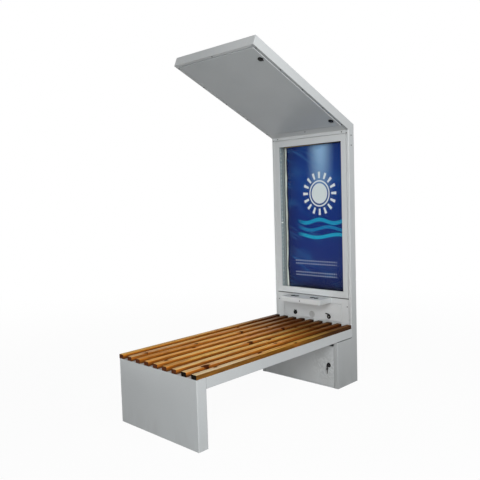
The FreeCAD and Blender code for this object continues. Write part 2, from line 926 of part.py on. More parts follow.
def light_tray():
    side = tray_half_width
    z = (window_bottom - tray_margin, window_top + tray_margin)
    back_side = half - sheet - seat_gap
    outer = box((tray_front_x, tray_back_x), (-side, side), z)
    inner_y = (-side + tray_sheet, side - tray_sheet)
    inner_z = (z[0] + tray_sheet, z[1] - tray_sheet)
    front_space = box((tray_front_x - past, tray_floor_x), inner_y, inner_z)
    back_space = box((tray_floor_x + tray_sheet, tray_back_x + past), inner_y, inner_z)
    flange = box((tray_back_x - tray_sheet, tray_back_x), (-back_side, back_side), z)
    tray = joined([outer, flange]).cut(front_space).cut(back_space)
    return drilled(tray, back_screws())


def led_bars():
    """Half-round diffusers down both side walls of the tray."""
    wall = tray_half_width - tray_sheet
    middle = (tray_front_x + tray_floor_x) / 2
    z = (
        window_bottom - tray_margin + tray_sheet + led_bar_end_gap,
        window_top + tray_margin - tray_sheet - led_bar_end_gap,
    )
    solids = []
    for sign in (-1, 1):
        foot = sign * wall
        near = sign * (wall - led_bar_height)
        points = [
            (middle - led_bar_width / 2, foot),
            (middle + led_bar_width / 2, foot),
            (middle + led_bar_width / 2, near),
            (middle - led_bar_width / 2, near),
        ]
        face = rounded_face(points, [0, 0, led_bar_rounding, led_bar_rounding], "z")
        solids.append(pushed(face, "z", *z))
    return Part.makeCompound(solids)


def poster():
    back = tray_floor_x - seat_gap
    z = (window_bottom - poster_overlap, window_top + poster_overlap)
    return box((back - poster_thickness, back), (-poster_half_width, poster_half_width), z)


def cabinet_door():
    side = (-cabinet_door_half, cabinet_door_half)
    heights = (cabinet_door_bottom, cabinet_door_top)
    door = pan(cabinet_front_x, side, heights, door_return)
    for pin_place in cabinet_pivots():
        door = door.cut(pivot_socket(pin_place))
    return door.cut(lock_hole(cabinet_lock_place()))


# Fascia, flap and console


def fascia_panel():
    side = stile_edge - seat_gap
    face_x = (tower_front_x, tower_front_x + sheet)
    face = box(face_x, (-side, side), (deck_top + seat_gap, fascia_top))
    top_lip = box(
        (tower_front_x, tower_front_x + frame_lip), (-side, side), (fascia_top - sheet, fascia_top)
    )
    opening_y = flap_half_width + running_gap
    opening_z = (flap_bottom - running_gap, flap_top + running_gap)
    surround = box(
        (tower_front_x, tower_front_x + frame_lip),
        (-opening_y - sheet, opening_y + sheet),
        (opening_z[0] - sheet, opening_z[1] + sheet),
    )
    opening_x = (tower_front_x - past, tower_front_x + 2 * frame_lip)
    opening = box(opening_x, (-opening_y, opening_y), opening_z)
    panel = joined([face, top_lip, surround]).cut(opening)
    panel = rounded_edges(
        panel,
        edge_radius,
        lambda p, edge: abs(p.x - tower_front_x) < close and p.z > fascia_top - close,
    )
    panel = drilled(panel, fascia_screws())
    for pin_place in flap_pivots() + door_pivots()[:1]:
        panel = panel.cut(pivot_socket(pin_place))
    return panel


def grille_holes():
    """Rings of small holes round one in the middle."""
    z = flap_lock_height
    length = 4 * sheet
    start_x = tower_front_x - sheet
    holes = [rod((start_x, 0, z), (1, 0, 0), grille_hole_radius, length)]
    for ring in range(1, grille_rings + 1):
        for i in range(6 * ring):
            angle = 2 * math.pi * i / (6 * ring)
            y = ring * grille_ring_pitch * math.cos(angle)
            dz = ring * grille_ring_pitch * math.sin(angle)
            holes.append(rod((start_x, y, z + dz), (1, 0, 0), grille_hole_radius, length))
    return Part.makeCompound(holes)


def service_flap():
    side = (-flap_half_width, flap_half_width)
    flap = pan(tower_front_x, side, (flap_bottom, flap_top), flap_return)
    for pin_place in flap_pivots():
        flap = flap.cut(pivot_socket(pin_place))
    for place in flap_lock_places():
        flap = flap.cut(lock_hole(place))
    return flap.cut(grille_holes())


def speaker():
    """Round loudspeaker behind the grille: a flange, a tapering basket and a magnet."""
    x = tower_front_x + sheet + seat_gap
    z = flap_lock_height
    flange = rod((x, 0, z), (1, 0, 0), speaker_radius, speaker_flange)
    basket_start = Vector(x + speaker_flange, 0, z)
    basket = Part.makeCone(
        basket_front_radius, basket_back_radius, basket_depth, basket_start, Vector(1, 0, 0)
    )
    magnet_x = x + speaker_flange + basket_depth
    magnet = rod((magnet_x, 0, z), (1, 0, 0), magnet_radius, magnet_depth)
    return joined([flange, basket, magnet])


def usb_pairs():
    """Places of the two round sockets of each double unit."""
    x = tower_front_x - usb_from_tower
    offsets = (-usb_pair_spacing / 2, usb_pair_spacing / 2)
    return [[(x, pair + offset) for offset in offsets] for pair in (-usb_pair_y, usb_pair_y)]


def console_housing():
    """Shelf box open at the back and underneath."""
    x = (tower_front_x - console_reach, tower_front_x)
    y = (-console_half_width, console_half_width)
    z = (console_top - console_height, console_top)
    outer = box(x, y, z)
    front = x[0]
    outer = rounded_edges(
        outer, console_corner_radius, lambda p, edge: along(edge, "z") and abs(p.x - front) < close
    )
    outer = rounded_edges(
        outer,
        edge_radius,
        lambda p, edge: p.z > console_top - close and p.x < tower_front_x - close,
    )
    inner = box(
        (front + console_sheet, tower_front_x + past),
        (y[0] + console_sheet, y[1] - console_sheet),
        (z[0] - past, console_top - console_sheet),
    )
    shell = outer.cut(inner)
    radius = usb_body_radius + seat_gap
    holes = [
        rod((px, py, console_top - 2 * console_sheet), (0, 0, 1), radius, 3 * console_sheet)
        for pair in usb_pairs()
        for px, py in pair
    ]
    return drilled(shell.cut(Part.makeCompound(holes)), console_screws())


def console_cover():
    """Tray that closes the shelf from below, with a lip behind the front screw."""
    gap = console_sheet + seat_gap
    x = (tower_front_x - console_reach + gap, tower_front_x - seat_gap)
    y = (-console_half_width + gap, console_half_width - gap)
    bottom = console_top - console_height
    plate = box(x, y, (bottom, bottom + console_sheet))
    lip_y = (-console_lip_width / 2, console_lip_width / 2)
    lip = box((x[0], x[0] + console_sheet), lip_y, (bottom, bottom + console_lip_height))
    return drilled(joined([plate, lip]), console_screws())


def usb_sockets():
    """Two double charging sockets, each with its flange on the shelf and two slots in it."""
    solids = []
    face_z = console_top + usb_flange_height
    for pair in usb_pairs():
        unit = joined([
            rod((x, y, console_top), (0, 0, 1), usb_flange_radius, usb_flange_height) for x, y in pair
        ])
        rim = [
            edge for edge in unit.Edges
            if isinstance(edge.Curve, Part.Circle) and edge.Curve.Center.z > face_z - close
        ]
        unit = unit.makeFillet(usb_flange_rounding, rim)
        for x, y in pair:
            body_start = (x, y, console_top - usb_body_length)
            unit = unit.fuse(rod(body_start, (0, 0, 1), usb_body_radius, usb_body_length))
        for x, y in pair:
            dish = rod((x, y, face_z - usb_rim_depth), (0, 0, 1), usb_rim_radius, 2 * usb_rim_depth)
            slot = box(
                (x - usb_slot_width / 2, x + usb_slot_width / 2),
                (y - usb_slot_length / 2, y + usb_slot_length / 2),
                (face_z - usb_slot_depth, face_z + past),
            )
            unit = unit.cut(dish).cut(slot)
        solids.append(unit.removeSplitter())
    return Part.makeCompound(solids)


# Cam locks: drawn with the panel's outer face at z = 0 and +z pointing out of it,
# with the cap's hinge at +y. A place is (position, direction of +z, direction of +y).


def placed(shape, place):
    position, outward, up = place
    z_axis = Vector(*outward)
    y_axis = Vector(*up)
    x_axis = y_axis.cross(z_axis)
    matrix = FreeCAD.Matrix(
        x_axis.x, y_axis.x, z_axis.x, position[0],
        x_axis.y, y_axis.y, z_axis.y, position[1],
        x_axis.z, y_axis.z, z_axis.z, position[2],
        0, 0, 0, 1,
    )
    moved = shape.copy()
    moved.Placement = FreeCAD.Placement(matrix).multiply(moved.Placement)
    return moved


def flap_lock_places():
    """At -Y and at +Y, seen in that order."""
    return [
        ((tower_front_x, sign * flap_lock_y, flap_lock_height), (-1, 0, 0), (0, 0, 1))
        for sign in (-1, 1)
    ]


def cabinet_lock_place():
    return ((cabinet_front_x, -cabinet_lock_y, cabinet_lock_height), (-1, 0, 0), (0, 0, 1))


def hatch_lock_places():
    """In the canopy's own flat frame, the one near the tower first."""
    y = -(hatch_half_width - hatch_lock_edge)
    turn = math.radians(hatch_lock_turn)
    up = (math.sin(turn), -math.cos(turn), 0)
    return [((-reach, y, -hatch_proud), (0, 0, -1), up) for reach in hatch_lock_along]


def lock_hole(place):
    radius = lock_body_radius + lock_hole_clearance
    return placed(rod((0, 0, -2 * sheet), (0, 0, 1), radius, 3 * sheet), place)


hinge_y = lock_flange_radius + cap_barrel_overhang
hinge_z = lock_flange_height + cap_gap + cap_barrel_radius


def lock_housing(with_cap=True):
    """Bezel, threaded body and the nut behind the panel, with ears for a cap's hinge pin."""
    flange = rod((0, 0, 0), (0, 0, 1), lock_flange_radius, lock_flange_height)
    rim = [
        edge for edge in flange.Edges
        if isinstance(edge.Curve, Part.Circle) and edge.Curve.Center.z > lock_flange_height / 2
    ]
    flange = flange.makeFillet(lock_flange_rounding, rim)
    body = rod((0, 0, -lock_body_length), (0, 0, 1), lock_body_radius, lock_body_length)
    nut = rod((0, 0, -sheet - seat_gap - lock_nut_height), (0, 0, 1), lock_nut_radius, lock_nut_height)
    ears = []
    ear_start = cap_barrel_length / 2 + cap_gap
    for sign in (-1, 1):
        x = (sign * ear_start, sign * (ear_start + cap_ear_width))
        foot_y = (hinge_y - 2 * cap_barrel_radius, hinge_y + cap_barrel_radius)
        foot = box(x, foot_y, (past, hinge_z))
        knuckle = rod((min(x), hinge_y, hinge_z), (1, 0, 0), cap_barrel_radius, cap_ear_width)
        ears += [foot, knuckle]
    pin_length = 2 * (ear_start + cap_ear_width)
    pin = rod((-pin_length / 2, hinge_y, hinge_z), (1, 0, 0), cap_hinge_pin_radius, pin_length)
    hinge = ears + [pin] if with_cap else []
    bore_length = lock_body_length + lock_flange_height + 2 * past
    bore_start = (0, 0, -lock_body_length - past)
    bore = rod(bore_start, (0, 0, 1), plug_radius + plug_clearance, bore_length)
    return joined([flange, body, nut] + hinge).cut(bore)


def lock_plug(cam_reach, cam_angle=0.0):
    """Turning plug with its keyway, and the cam behind it, turned from +x by the given angle."""
    face = lock_flange_height - plug_recess
    tail = lock_body_length + cam_sheet
    barrel = rod((0, 0, -tail), (0, 0, 1), plug_radius, face + tail)
    keyway = box(
        (-keyway_width / 2, keyway_width / 2),
        (-keyway_length / 2, keyway_length / 2),
        (face - keyway_depth, face + past),
    )
    cam_z = (-lock_body_length - seat_gap - cam_sheet, -lock_body_length - seat_gap)
    face_points = [
        (-cam_width / 2, -cam_width / 2),
        (cam_reach, -cam_width / 2),
        (cam_reach, cam_width / 2),
        (-cam_width / 2, cam_width / 2),
    ]
    cam = pushed(rounded_face(face_points, [cam_rounding] * 4, "z"), "z", *cam_z)
    cam.rotate(Vector(0, 0, 0), Vector(0, 0, 1), cam_angle)
    nut = rod((0, 0, -tail - cam_nut_height), (0, 0, 1), cam_nut_radius, cam_nut_height)
    return joined([barrel, cam, nut]).cut(keyway)


def lock_cap(open_angle):
    """Dust cap on its barrel, turned open by the given angle."""
    bottom = lock_flange_height + cap_gap
    disc = rod((0, 0, bottom), (0, 0, 1), cap_radius, cap_thickness)
    rim = [
        edge for edge in disc.Edges
        if isinstance(edge.Curve, Part.Circle) and edge.Curve.Center.z > bottom + cap_thickness / 2
    ]
    disc = disc.makeFillet(cap_rounding, rim)
    flat_y = hinge_y - cap_flat
    beyond_flat = box((-cap_radius, cap_radius), (flat_y, flat_y + cap_radius), (0, 2 * hinge_z))
    disc = disc.cut(beyond_flat)
    barrel_x = (-cap_barrel_length / 2, cap_barrel_length / 2)
    tongue_y = (flat_y - cap_barrel_radius, hinge_y)
    tongue = box(barrel_x, tongue_y, (bottom, bottom + cap_thickness))
    barrel = rod((barrel_x[0], hinge_y, hinge_z), (1, 0, 0), cap_barrel_radius, cap_barrel_length)
    bore_radius = cap_hinge_pin_radius + cap_hinge_clearance
    bore = rod((-cap_barrel_length, hinge_y, hinge_z), (1, 0, 0), bore_radius, 2 * cap_barrel_length)
    cap = joined([disc, tongue, barrel]).cut(bore)
    cap.rotate(Vector(0, hinge_y, hinge_z), Vector(1, 0, 0), -open_angle)
    return cap


def hatch_cam_reach():
    return hatch_lock_edge + hatch_gap + cam_overlap


def flap_cam_reach():
    return flap_lock_height - flap_bottom + running_gap + cam_overlap


def cabinet_cam_reach():
    return cabinet_door_half - cabinet_lock_y + running_gap + cam_overlap


# Keys


def key_blank(blade_length):
    """Blade along -z from the shoulder at z = 0, with the bow above it."""
    blade_y = (-key_blade_width / 2, key_blade_width / 2)
    blade_x = (-key_thickness / 2, key_thickness / 2)
    blade = box(blade_x, blade_y, (-blade_length, key_blade_root))
    bow_z = key_hole_height - key_hole_offset
    bow = rod((-key_bow_thickness / 2, 0, bow_z), (1, 0, 0), key_bow_radius, key_bow_thickness)
    hole_start = (-key_bow_thickness, 0, key_hole_height)
    hole = rod(hole_start, (1, 0, 0), key_hole_radius, 2 * key_bow_thickness)
    return joined([blade, bow]).cut(hole)


def cabinet_key():
    """The key left in the cabinet's lock."""
    face = lock_flange_height - plug_recess
    key = key_blank(key_blade_length)
    key.translate(Vector(0, 0, face + seat_gap))
    return placed(key, cabinet_lock_place())


def key_ring_centre():
    """The ring hangs from the hole in the key's bow."""
    face = lock_flange_height - plug_recess + seat_gap
    x = cabinet_front_x - face - key_hole_height
    drop = key_ring_radius + key_hole_radius - key_ring_wire - key_ring_slack
    return Vector(x, -cabinet_lock_y, cabinet_lock_height - drop)


def spare_key():
    """Split ring and second key, hanging from the key in the lock."""
    centre = key_ring_centre()
    ring = Part.makeTorus(key_ring_radius, key_ring_wire, centre, Vector(1, 0, 0))
    key = key_blank(spare_blade_length)
    key.rotate(Vector(0, 0, 0), Vector(0, 0, 1), 90)
    rim = centre - Vector(0, 0, key_ring_radius - key_ring_wire - key_ring_slack)
    key.translate(rim - Vector(0, 0, key_hole_height + key_hole_radius))
    return Part.makeCompound([ring, key])


# Battery compartment


def battery():
    x_back = tower_back_x - 2 * sheet - battery_back_gap
    x = (x_back - battery_depth, x_back)
    y = (battery_y - battery_length / 2, battery_y + battery_length / 2)
    case = box(x, y, (floor_thickness, floor_thickness + battery_height))
    case = rounded_edges(case, battery_corner_radius, lambda p, edge: along(edge, "z"))
    top = floor_thickness + battery_height
    posts = []
    for sign in (-1, 1):
        foot = (sum(x) / 2, battery_y + sign * battery_terminal_spacing / 2, top)
        posts.append(rod(foot, (0, 0, 1), battery_terminal_radius, battery_terminal_height))
    return joined([case] + posts)


def charge_controller():
    """Finned box on the inside of the back panel."""
    back = tower_back_x - 2 * sheet - seat_gap
    y = (controller_y - controller_width / 2, controller_y + controller_width / 2)
    z = (controller_bottom, controller_bottom + controller_height)
    front = back - controller_depth
    case = box((front, back), y, z)
    groove_x = (front - past, front + fin_depth)
    groove_z = (z[0] - past, z[1] + past)
    starts = spread(y[0] + fin_pitch, y[1] - fin_pitch - fin_gap, fin_gap_count)
    grooves = [box(groove_x, (start, start + fin_gap), groove_z) for start in starts]
    return case.cut(Part.makeCompound(grooves))


def canopy_point(x, y, z):
    return canopy_place.multVec(Vector(x, y, z))


def pv_cable():
    """From the panel's junction box, down beside the light box, to the charge controller."""
    box_end = -(junction_box_along - junction_box_length / 2)
    box_z = pv_bottom + cable_box_height
    under_frame_z = pv_bottom - cable_frame_drop
    side_y = -(half - cable_side_gap)
    x = tower_front_x + cable_x
    controller_top = controller_bottom + controller_height
    controller_x = tower_back_x - 2 * sheet - seat_gap - controller_depth / 2
    entry_y = controller_y - cable_controller_shift
    past_frame_z = under_frame_z + cable_frame_rise
    points = [
        canopy_point(box_end, junction_box_y, box_z),
        canopy_point(box_end + cable_box_run, junction_box_y, box_z),
        canopy_point(pv_near_x - cable_frame_before, junction_box_y, under_frame_z),
        canopy_point(pv_near_x + cable_frame_after, junction_box_y, past_frame_z),
        Vector(x, side_y + cable_neck_shift, tower_front_height - cable_neck_drop),
        Vector(x, side_y, tower_front_height - cable_neck_turn_drop),
        Vector(x, side_y, controller_top + cable_turn_height),
        Vector(controller_x, entry_y, controller_top + cable_drop_height),
        Vector(controller_x, entry_y, controller_top),
    ]
    edges = []
    here = points[0]
    for i in range(1, len(points) - 1):
        corner = points[i]
        to_before = (points[i - 1] - corner).normalize()
        to_after = (points[i + 1] - corner).normalize()
        half_angle = to_before.getAngle(to_after) / 2
        setback = cable_bend / math.tan(half_angle)
        inward = (to_before + to_after).normalize()
        middle = corner + inward * (cable_bend / math.sin(half_angle) - cable_bend)
        start = corner + to_before * setback
        end = corner + to_after * setback
        edges.append(Part.LineSegment(here, start).toShape())
        edges.append(Part.Arc(start, middle, end).toShape())
        here = end
    edges.append(Part.LineSegment(here, points[-1]).toShape())
    path = Part.Wire(edges)
    direction = (points[1] - points[0]).normalize()
    section = Part.Wire(Part.makeCircle(cable_radius, points[0], direction))
    return path.makePipeShell([section], True, False)


# Canopy, drawn flat: the tower's end at x = 0, its free edge at -canopy_length, underside at z = 0


def neck_cut():
    """What lies past the meeting plane, in the canopy's own frame."""
    across = (tower_depth * math.cos(tilt) - neck_rise * math.sin(tilt)) / canopy_thickness
    points = [
        (-cutter_reach * across, -cutter_reach),
        (cutter_reach * across, cutter_reach),
        (cutter_reach + cutter_run, cutter_reach),
        (cutter_reach + cutter_run, -cutter_reach),
    ]
    return pushed(rounded_face(points, [0] * 4, "y"), "y", -width, width)


def canopy_pan():
    """Walls, neck plate and underside rim; open above for the panel and below for the hatch."""
    far = -canopy_length
    reach = tower_depth + canopy_thickness
    outer = box((far, reach), (-half, half), (0, canopy_thickness))
    outer = rounded_edges(
        outer, door_corner_radius, lambda p, edge: along(edge, "z") and p.x < far + close
    )
    outer = outer.cut(neck_cut())
    neck_plate_end = pv_near_x + pv_edge_gap
    inner_far = far + sheet
    inner_side = half - sheet
    inner_y = (-inner_side, inner_side)
    under_panel = box((inner_far, neck_plate_end), inner_y, (sheet, canopy_thickness + past))
    under_neck = box((neck_plate_end - past, reach), inner_y, (sheet, canopy_thickness - sheet))
    shell = outer.cut(under_panel).cut(under_neck)
    near_edge = -canopy_tower_rim
    far_edge = far + canopy_rim
    side_edge = half - canopy_rim
    lips = box(
        (far_edge - sheet, near_edge + sheet), (-side_edge - sheet, side_edge + sheet), (0, canopy_lip)
    )
    opening = box((far_edge, near_edge), (-side_edge, side_edge), (-past, canopy_lip + past))
    shell = joined([shell, lips]).cut(opening)
    shell = drilled(shell, canopy_rim_screws())
    for pin_place in hatch_pivots():
        shell = shell.cut(pivot_socket(pin_place))
    return in_canopy(shell)


def canopy_hatch():
    side = (-hatch_half_width, hatch_half_width)
    # The blank faces -X; turning it about Y makes it face down.
    hatch = pan(-hatch_proud, side, (hatch_near, hatch_far), door_return)
    hatch.rotate(Vector(0, 0, 0), Vector(0, 1, 0), -90)
    for pin_place in hatch_pivots():
        hatch = hatch.cut(pivot_socket(pin_place))
    for place in hatch_lock_places():
        hatch = hatch.cut(lock_hole(place))
    return in_canopy(hatch)


def canopy_ribs():
    """Hat sections across the canopy that carry the solar panel."""
    side = half - sheet - seat_gap
    top = pv_bottom - seat_gap
    solids = []
    for reach in rib_along:
        x = (-reach - rib_width / 2, -reach + rib_width / 2)
        outer = box(x, (-side, side), (rib_bottom, top))
        inner_x = (x[0] + rib_sheet, x[1] - rib_sheet)
        inner = box(inner_x, (-side - past, side + past), (rib_bottom - past, top - rib_sheet))
        solids.append(outer.cut(inner))
    return in_canopy(Part.makeCompound(solids))


def pv_spans():
    side = half - sheet - pv_edge_gap
    return (pv_far_x, pv_near_x), (-side, side)


def pv_frame():
    """Aluminium frame: a wall with a foot flange and a groove for the laminate."""
    x, y = pv_spans()
    bottom = pv_bottom
    outer = box(x, y, (bottom, canopy_thickness))

    def inset(amount, z):
        return box((x[0] + amount, x[1] - amount), (y[0] + amount, y[1] - amount), z)

    above = canopy_thickness + past
    above_foot = inset(pv_frame_sheet, (bottom + pv_frame_sheet, above))
    through = inset(pv_frame_foot, (bottom - past, above))
    within = inset(pv_frame_wall, (bottom - past, above))
    lip = inset(0, (canopy_thickness - pv_frame_lip, canopy_thickness)).cut(within)
    ledge_top = canopy_thickness - pv_frame_lip - pv_laminate_thickness - seat_gap
    ledge = inset(0, (ledge_top - pv_frame_sheet, ledge_top)).cut(within)
    return in_canopy(joined([outer.cut(above_foot).cut(through), lip, ledge]))


def pv_laminate():
    """Glass and cells, with the junction box under it."""
    x, y = pv_spans()
    gap = pv_frame_sheet + seat_gap
    top = canopy_thickness - pv_frame_lip - seat_gap / 2
    under = canopy_thickness - pv_frame_lip - pv_laminate_thickness
    glass = box((x[0] + gap, x[1] - gap), (y[0] + gap, y[1] - gap), (under, top))
    jx = (-junction_box_along - junction_box_length / 2, -junction_box_along + junction_box_length / 2)
    jy = (junction_box_y - junction_box_width / 2, junction_box_y + junction_box_width / 2)
    junction = box(jx, jy, (under - junction_box_height, under))
    return in_canopy(joined([glass, junction]))


def neck_brackets():
    """Knee plates inside both sides, from the tower into the canopy."""
    inset = sheet + neck_margin
    front = tower_front_x + inset
    back = tower_back_x - 2 * sheet - neck_margin
    bottom = tower_front_height - neck_tower_drop

    def knee(x, level):
        """Where an upright at x meets a line at the given level above the canopy's underside."""
        run = (x - tower_front_x - level * math.sin(tilt)) / math.cos(tilt)
        return (x, tower_front_height - run * math.sin(tilt) + level * math.cos(tilt))

    arm_top = inset + neck_arm_height
    upper = canopy_point(-neck_canopy_reach, 0, arm_top)
    lower = canopy_point(-neck_canopy_reach, 0, inset)
    points = [
        (front, bottom),
        (back, bottom),
        knee(back, arm_top),
        (upper.x, upper.z),
        (lower.x, lower.z),
        knee(front, inset),
    ]
    outside = half - sheet - seat_gap
    face = rounded_face(points, [0] * len(points), "y")
    plate = pushed(face, "y", -outside, -outside + neck_plate)
    holes = []
    for place, axis in side_screws():
        radius = screw_shank_radius + screw_hole_clearance
        start_y = Vector(*place) + Vector(*axis) * sheet
        holes.append(Part.makeCylinder(radius, 8 * sheet, start_y, -Vector(*axis)))
    both = Part.makeCompound([plate, mirrored(plate)])
    return Part.makeCompound([solid.cut(Part.makeCompound(holes)) for solid in both.Solids])


def build():
    pieces = {
        "leg_shell": leg_shell(),
        "leg_inner_panel": leg_inner_panel(),
        "leg_base_plate": leg_base_plate(),
        "rail_front": rail(-1),
        "rail_rear": rail(1),
        "bearers": bearers(),
        "slat_screws": slat_screws(),
        "side_plate_front": side_plate(-1),
        "side_plate_rear": side_plate(1),
        "back_panel": back_panel(),
        "tower_head": tower_head(),
        "cabinet_floor": cabinet_floor(),
        "cabinet_top": cabinet_top(),
        "light_box_door": light_box_door(),
        "door_glazing": door_glazing(),
        "light_tray": light_tray(),
        "led_bars": led_bars(),
        "poster": poster(),
        "pivot_pins": pivot_pins(),
        "fascia_panel": fascia_panel(),
        "service_flap": service_flap(),
        "speaker": speaker(),
        "console_housing": console_housing(),
        "console_cover": console_cover(),
        "usb_sockets": usb_sockets(),
        "cabinet_door": cabinet_door(),
        "battery": battery(),
        "charge_controller": charge_controller(),
        "pv_cable": pv_cable(),
        "canopy_pan": canopy_pan(),
        "canopy_hatch": canopy_hatch(),
        "canopy_ribs": canopy_ribs(),
        "pv_frame": pv_frame(),
        "pv_laminate": pv_laminate(),
        "neck_brackets": neck_brackets(),
        "panel_screws": panel_screws(),
        "cabinet_key": cabinet_key(),
        "spare_key": spare_key(),
    }
    for i in range(slat_count):
        pieces[f"slat_{i + 1}"] = slat(i)

    housing = lock_housing()
    flap_front, flap_rear = flap_lock_places()
    hatch_near_place, hatch_far_place = hatch_lock_places()
    cabinet_place = cabinet_lock_place()
    hatch_plug = lock_plug(hatch_cam_reach(), 180 + hatch_lock_turn)
    pieces["flap_lock_housings"] = Part.makeCompound(
        [placed(housing, flap_front), placed(housing, flap_rear)]
    )
    pieces["hatch_lock_housings"] = in_canopy(
        Part.makeCompound([placed(housing, hatch_near_place), placed(housing, hatch_far_place)])
    )
    pieces["cabinet_lock_housing"] = placed(lock_housing(with_cap=False), cabinet_place)
    pieces["flap_plug_front"] = placed(lock_plug(flap_cam_reach()), flap_front)
    pieces["flap_plug_rear"] = placed(lock_plug(flap_cam_reach()), flap_rear)
    pieces["cabinet_plug"] = placed(lock_plug(cabinet_cam_reach(), 90), cabinet_place)
    pieces["hatch_plug_near"] = in_canopy(placed(hatch_plug, hatch_near_place))
    pieces["hatch_plug_far"] = in_canopy(placed(hatch_plug, hatch_far_place))
    pieces["flap_cap_front"] = placed(lock_cap(cap_open_angle), flap_front)
    pieces["flap_cap_rear"] = placed(lock_cap(0), flap_rear)
    pieces["hatch_cap_near"] = in_canopy(placed(lock_cap(0), hatch_near_place))
    pieces["hatch_cap_far"] = in_canopy(placed(lock_cap(0), hatch_far_place))
    return pieces


def main():
    os.makedirs("parts", exist_ok=True)
    for name, shape in build().items():
        solids = shape.Solids
        if not solids or not shape.isValid():
            print("check", name, len(solids), shape.isValid())
        shape.exportStep(f"parts/{name}.step")


main()
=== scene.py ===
"""Looks of the solar charging bench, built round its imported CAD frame. Lengths are in metres."""

import math

import bmesh
import bpy
from mathutils import Matrix, Vector


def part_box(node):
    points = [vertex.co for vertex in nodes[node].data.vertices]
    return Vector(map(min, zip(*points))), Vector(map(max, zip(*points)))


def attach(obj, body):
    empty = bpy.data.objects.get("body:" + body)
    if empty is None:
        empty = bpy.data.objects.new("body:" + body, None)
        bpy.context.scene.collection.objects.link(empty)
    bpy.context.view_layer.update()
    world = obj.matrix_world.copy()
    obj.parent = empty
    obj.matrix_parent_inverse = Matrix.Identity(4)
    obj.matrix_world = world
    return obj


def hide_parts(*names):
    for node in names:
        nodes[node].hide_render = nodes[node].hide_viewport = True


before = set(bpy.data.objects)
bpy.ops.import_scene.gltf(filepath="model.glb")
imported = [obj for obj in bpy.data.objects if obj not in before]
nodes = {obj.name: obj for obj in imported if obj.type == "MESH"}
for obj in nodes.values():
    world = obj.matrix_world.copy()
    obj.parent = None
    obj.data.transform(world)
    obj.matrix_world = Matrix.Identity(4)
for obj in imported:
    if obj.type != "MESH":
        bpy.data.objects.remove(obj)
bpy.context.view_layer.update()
scene = bpy.context.scene

# The photograph's camera: angles in degrees, focal length and picture width in pixels.
CAMERA_AZIMUTH, CAMERA_ELEVATION, CAMERA_ROLL = -46.2365, 4.0559, -1.7238
CAMERA_PLACE = (-2.9335, -2.7578, 1.4334)
FOCAL_PIXELS = 572.3166
PICTURE_PIXELS = 480.0
SENSOR_WIDTH = 36.0  # millimetres, as the lens

# The canopy's slope, towards its low end at the tower, and the direction that its underside faces.
CANOPY_TILT = math.radians(23.3)
CANOPY_ALONG = (math.cos(CANOPY_TILT), 0.0, -math.sin(CANOPY_TILT))
CANOPY_DOWN = (-math.sin(CANOPY_TILT), 0.0, -math.cos(CANOPY_TILT))
CANOPY_NEAR_RIM = -0.35  # the rim along the near edge of the underside lies past this Y

FLOOR_HALF = 14.0
FLOOR_DROP = 0.0006  # the floor lies this much below the feet
WORLD_LEVEL = 0.05

# Lamps: name, place, aim, size, watts, spread in degrees.
LAMPS = [
    ("key", (-3.6, -3.6, 3.2), (0.0, 0.0, 1.0), (2.0, 2.0), 134.0, 180.0),
    ("low_fill", (-1.9, -4.0, 1.1), (-0.4, 0.0, 0.5), (2.0, 1.2), 24.0, 180.0),
    ("tower_front", (-2.7, -0.6, 2.1), (0.77, 0.0, 1.15), (1.2, 1.2), 1.5, 40.0),
    ("flap_fill", (-2.4, 0.3, 0.90), (0.77, 0.24, 0.56), (0.8, 0.5), 0.44, 22.0),
    ("side_near", (0.2, -2.6, 3.4), (0.5, -0.3, 1.5), (1.6, 1.6), 31.0, 180.0),
    ("left_under", (-3.4, -2.6, 0.5), (0.6, 0.0, 1.0), (1.6, 0.8), 30.0, 180.0),
    ("back", (4.2, 3.6, 3.4), (0.4, 0.0, 1.0), (2.6, 2.6), 60.0, 180.0),
]

LIGHT_GREY = (0.603, 0.621, 0.626)
HATCH_GREY = (0.545, 0.570, 0.580)
MOULDED_BLACK = (0.012, 0.012, 0.013)
LOCK_BLACK = (0.008, 0.008, 0.009)

# What lies on the paint, the painted shade, and the heights at which dust and painted shade end.
DUST_TOP = 0.16
LOW_SHADE_BOTTOM, LOW_SHADE_TOP = 0.08, 0.75  # full below the first, none above the second
ROAD_DUST = (0.30, 0.29, 0.27)
LOW_SHADE = (0.22, 0.23, 0.23)
SEAM_SHADE = (0.035, 0.035, 0.035)
WIPED_DULL = (0.40, 0.42, 0.42)
WIPED_BRIGHT = (0.74, 0.76, 0.76)
PERFORATED = (0.20, 0.20, 0.195)

# What lies on the wood, and painted shade in its gaps, towards the tower and at its tips.
GAP_SHADE = (0.030, 0.010, 0.004)
WORN_PALE = (0.78, 0.68, 0.50)
KNOT_DARK = (0.060, 0.010, 0.004)
# Painted shade towards the tower, as a factor.
TOWER_SHADE = (0.15, 0.100, 0.085)  # a factor
TIP_SHADE_TONE = (0.016, 0.009, 0.005)

# The slats' own tones, from the far side to the near one.
HONEY = [
    (0.55, 0.252, 0.038), (0.63, 0.295, 0.042), (0.68, 0.318, 0.047),
    (0.60, 0.240, 0.035), (0.69, 0.307, 0.047), (0.62, 0.315, 0.049),
    (0.65, 0.322, 0.049), (0.68, 0.295, 0.039), (0.68, 0.330, 0.052),
]
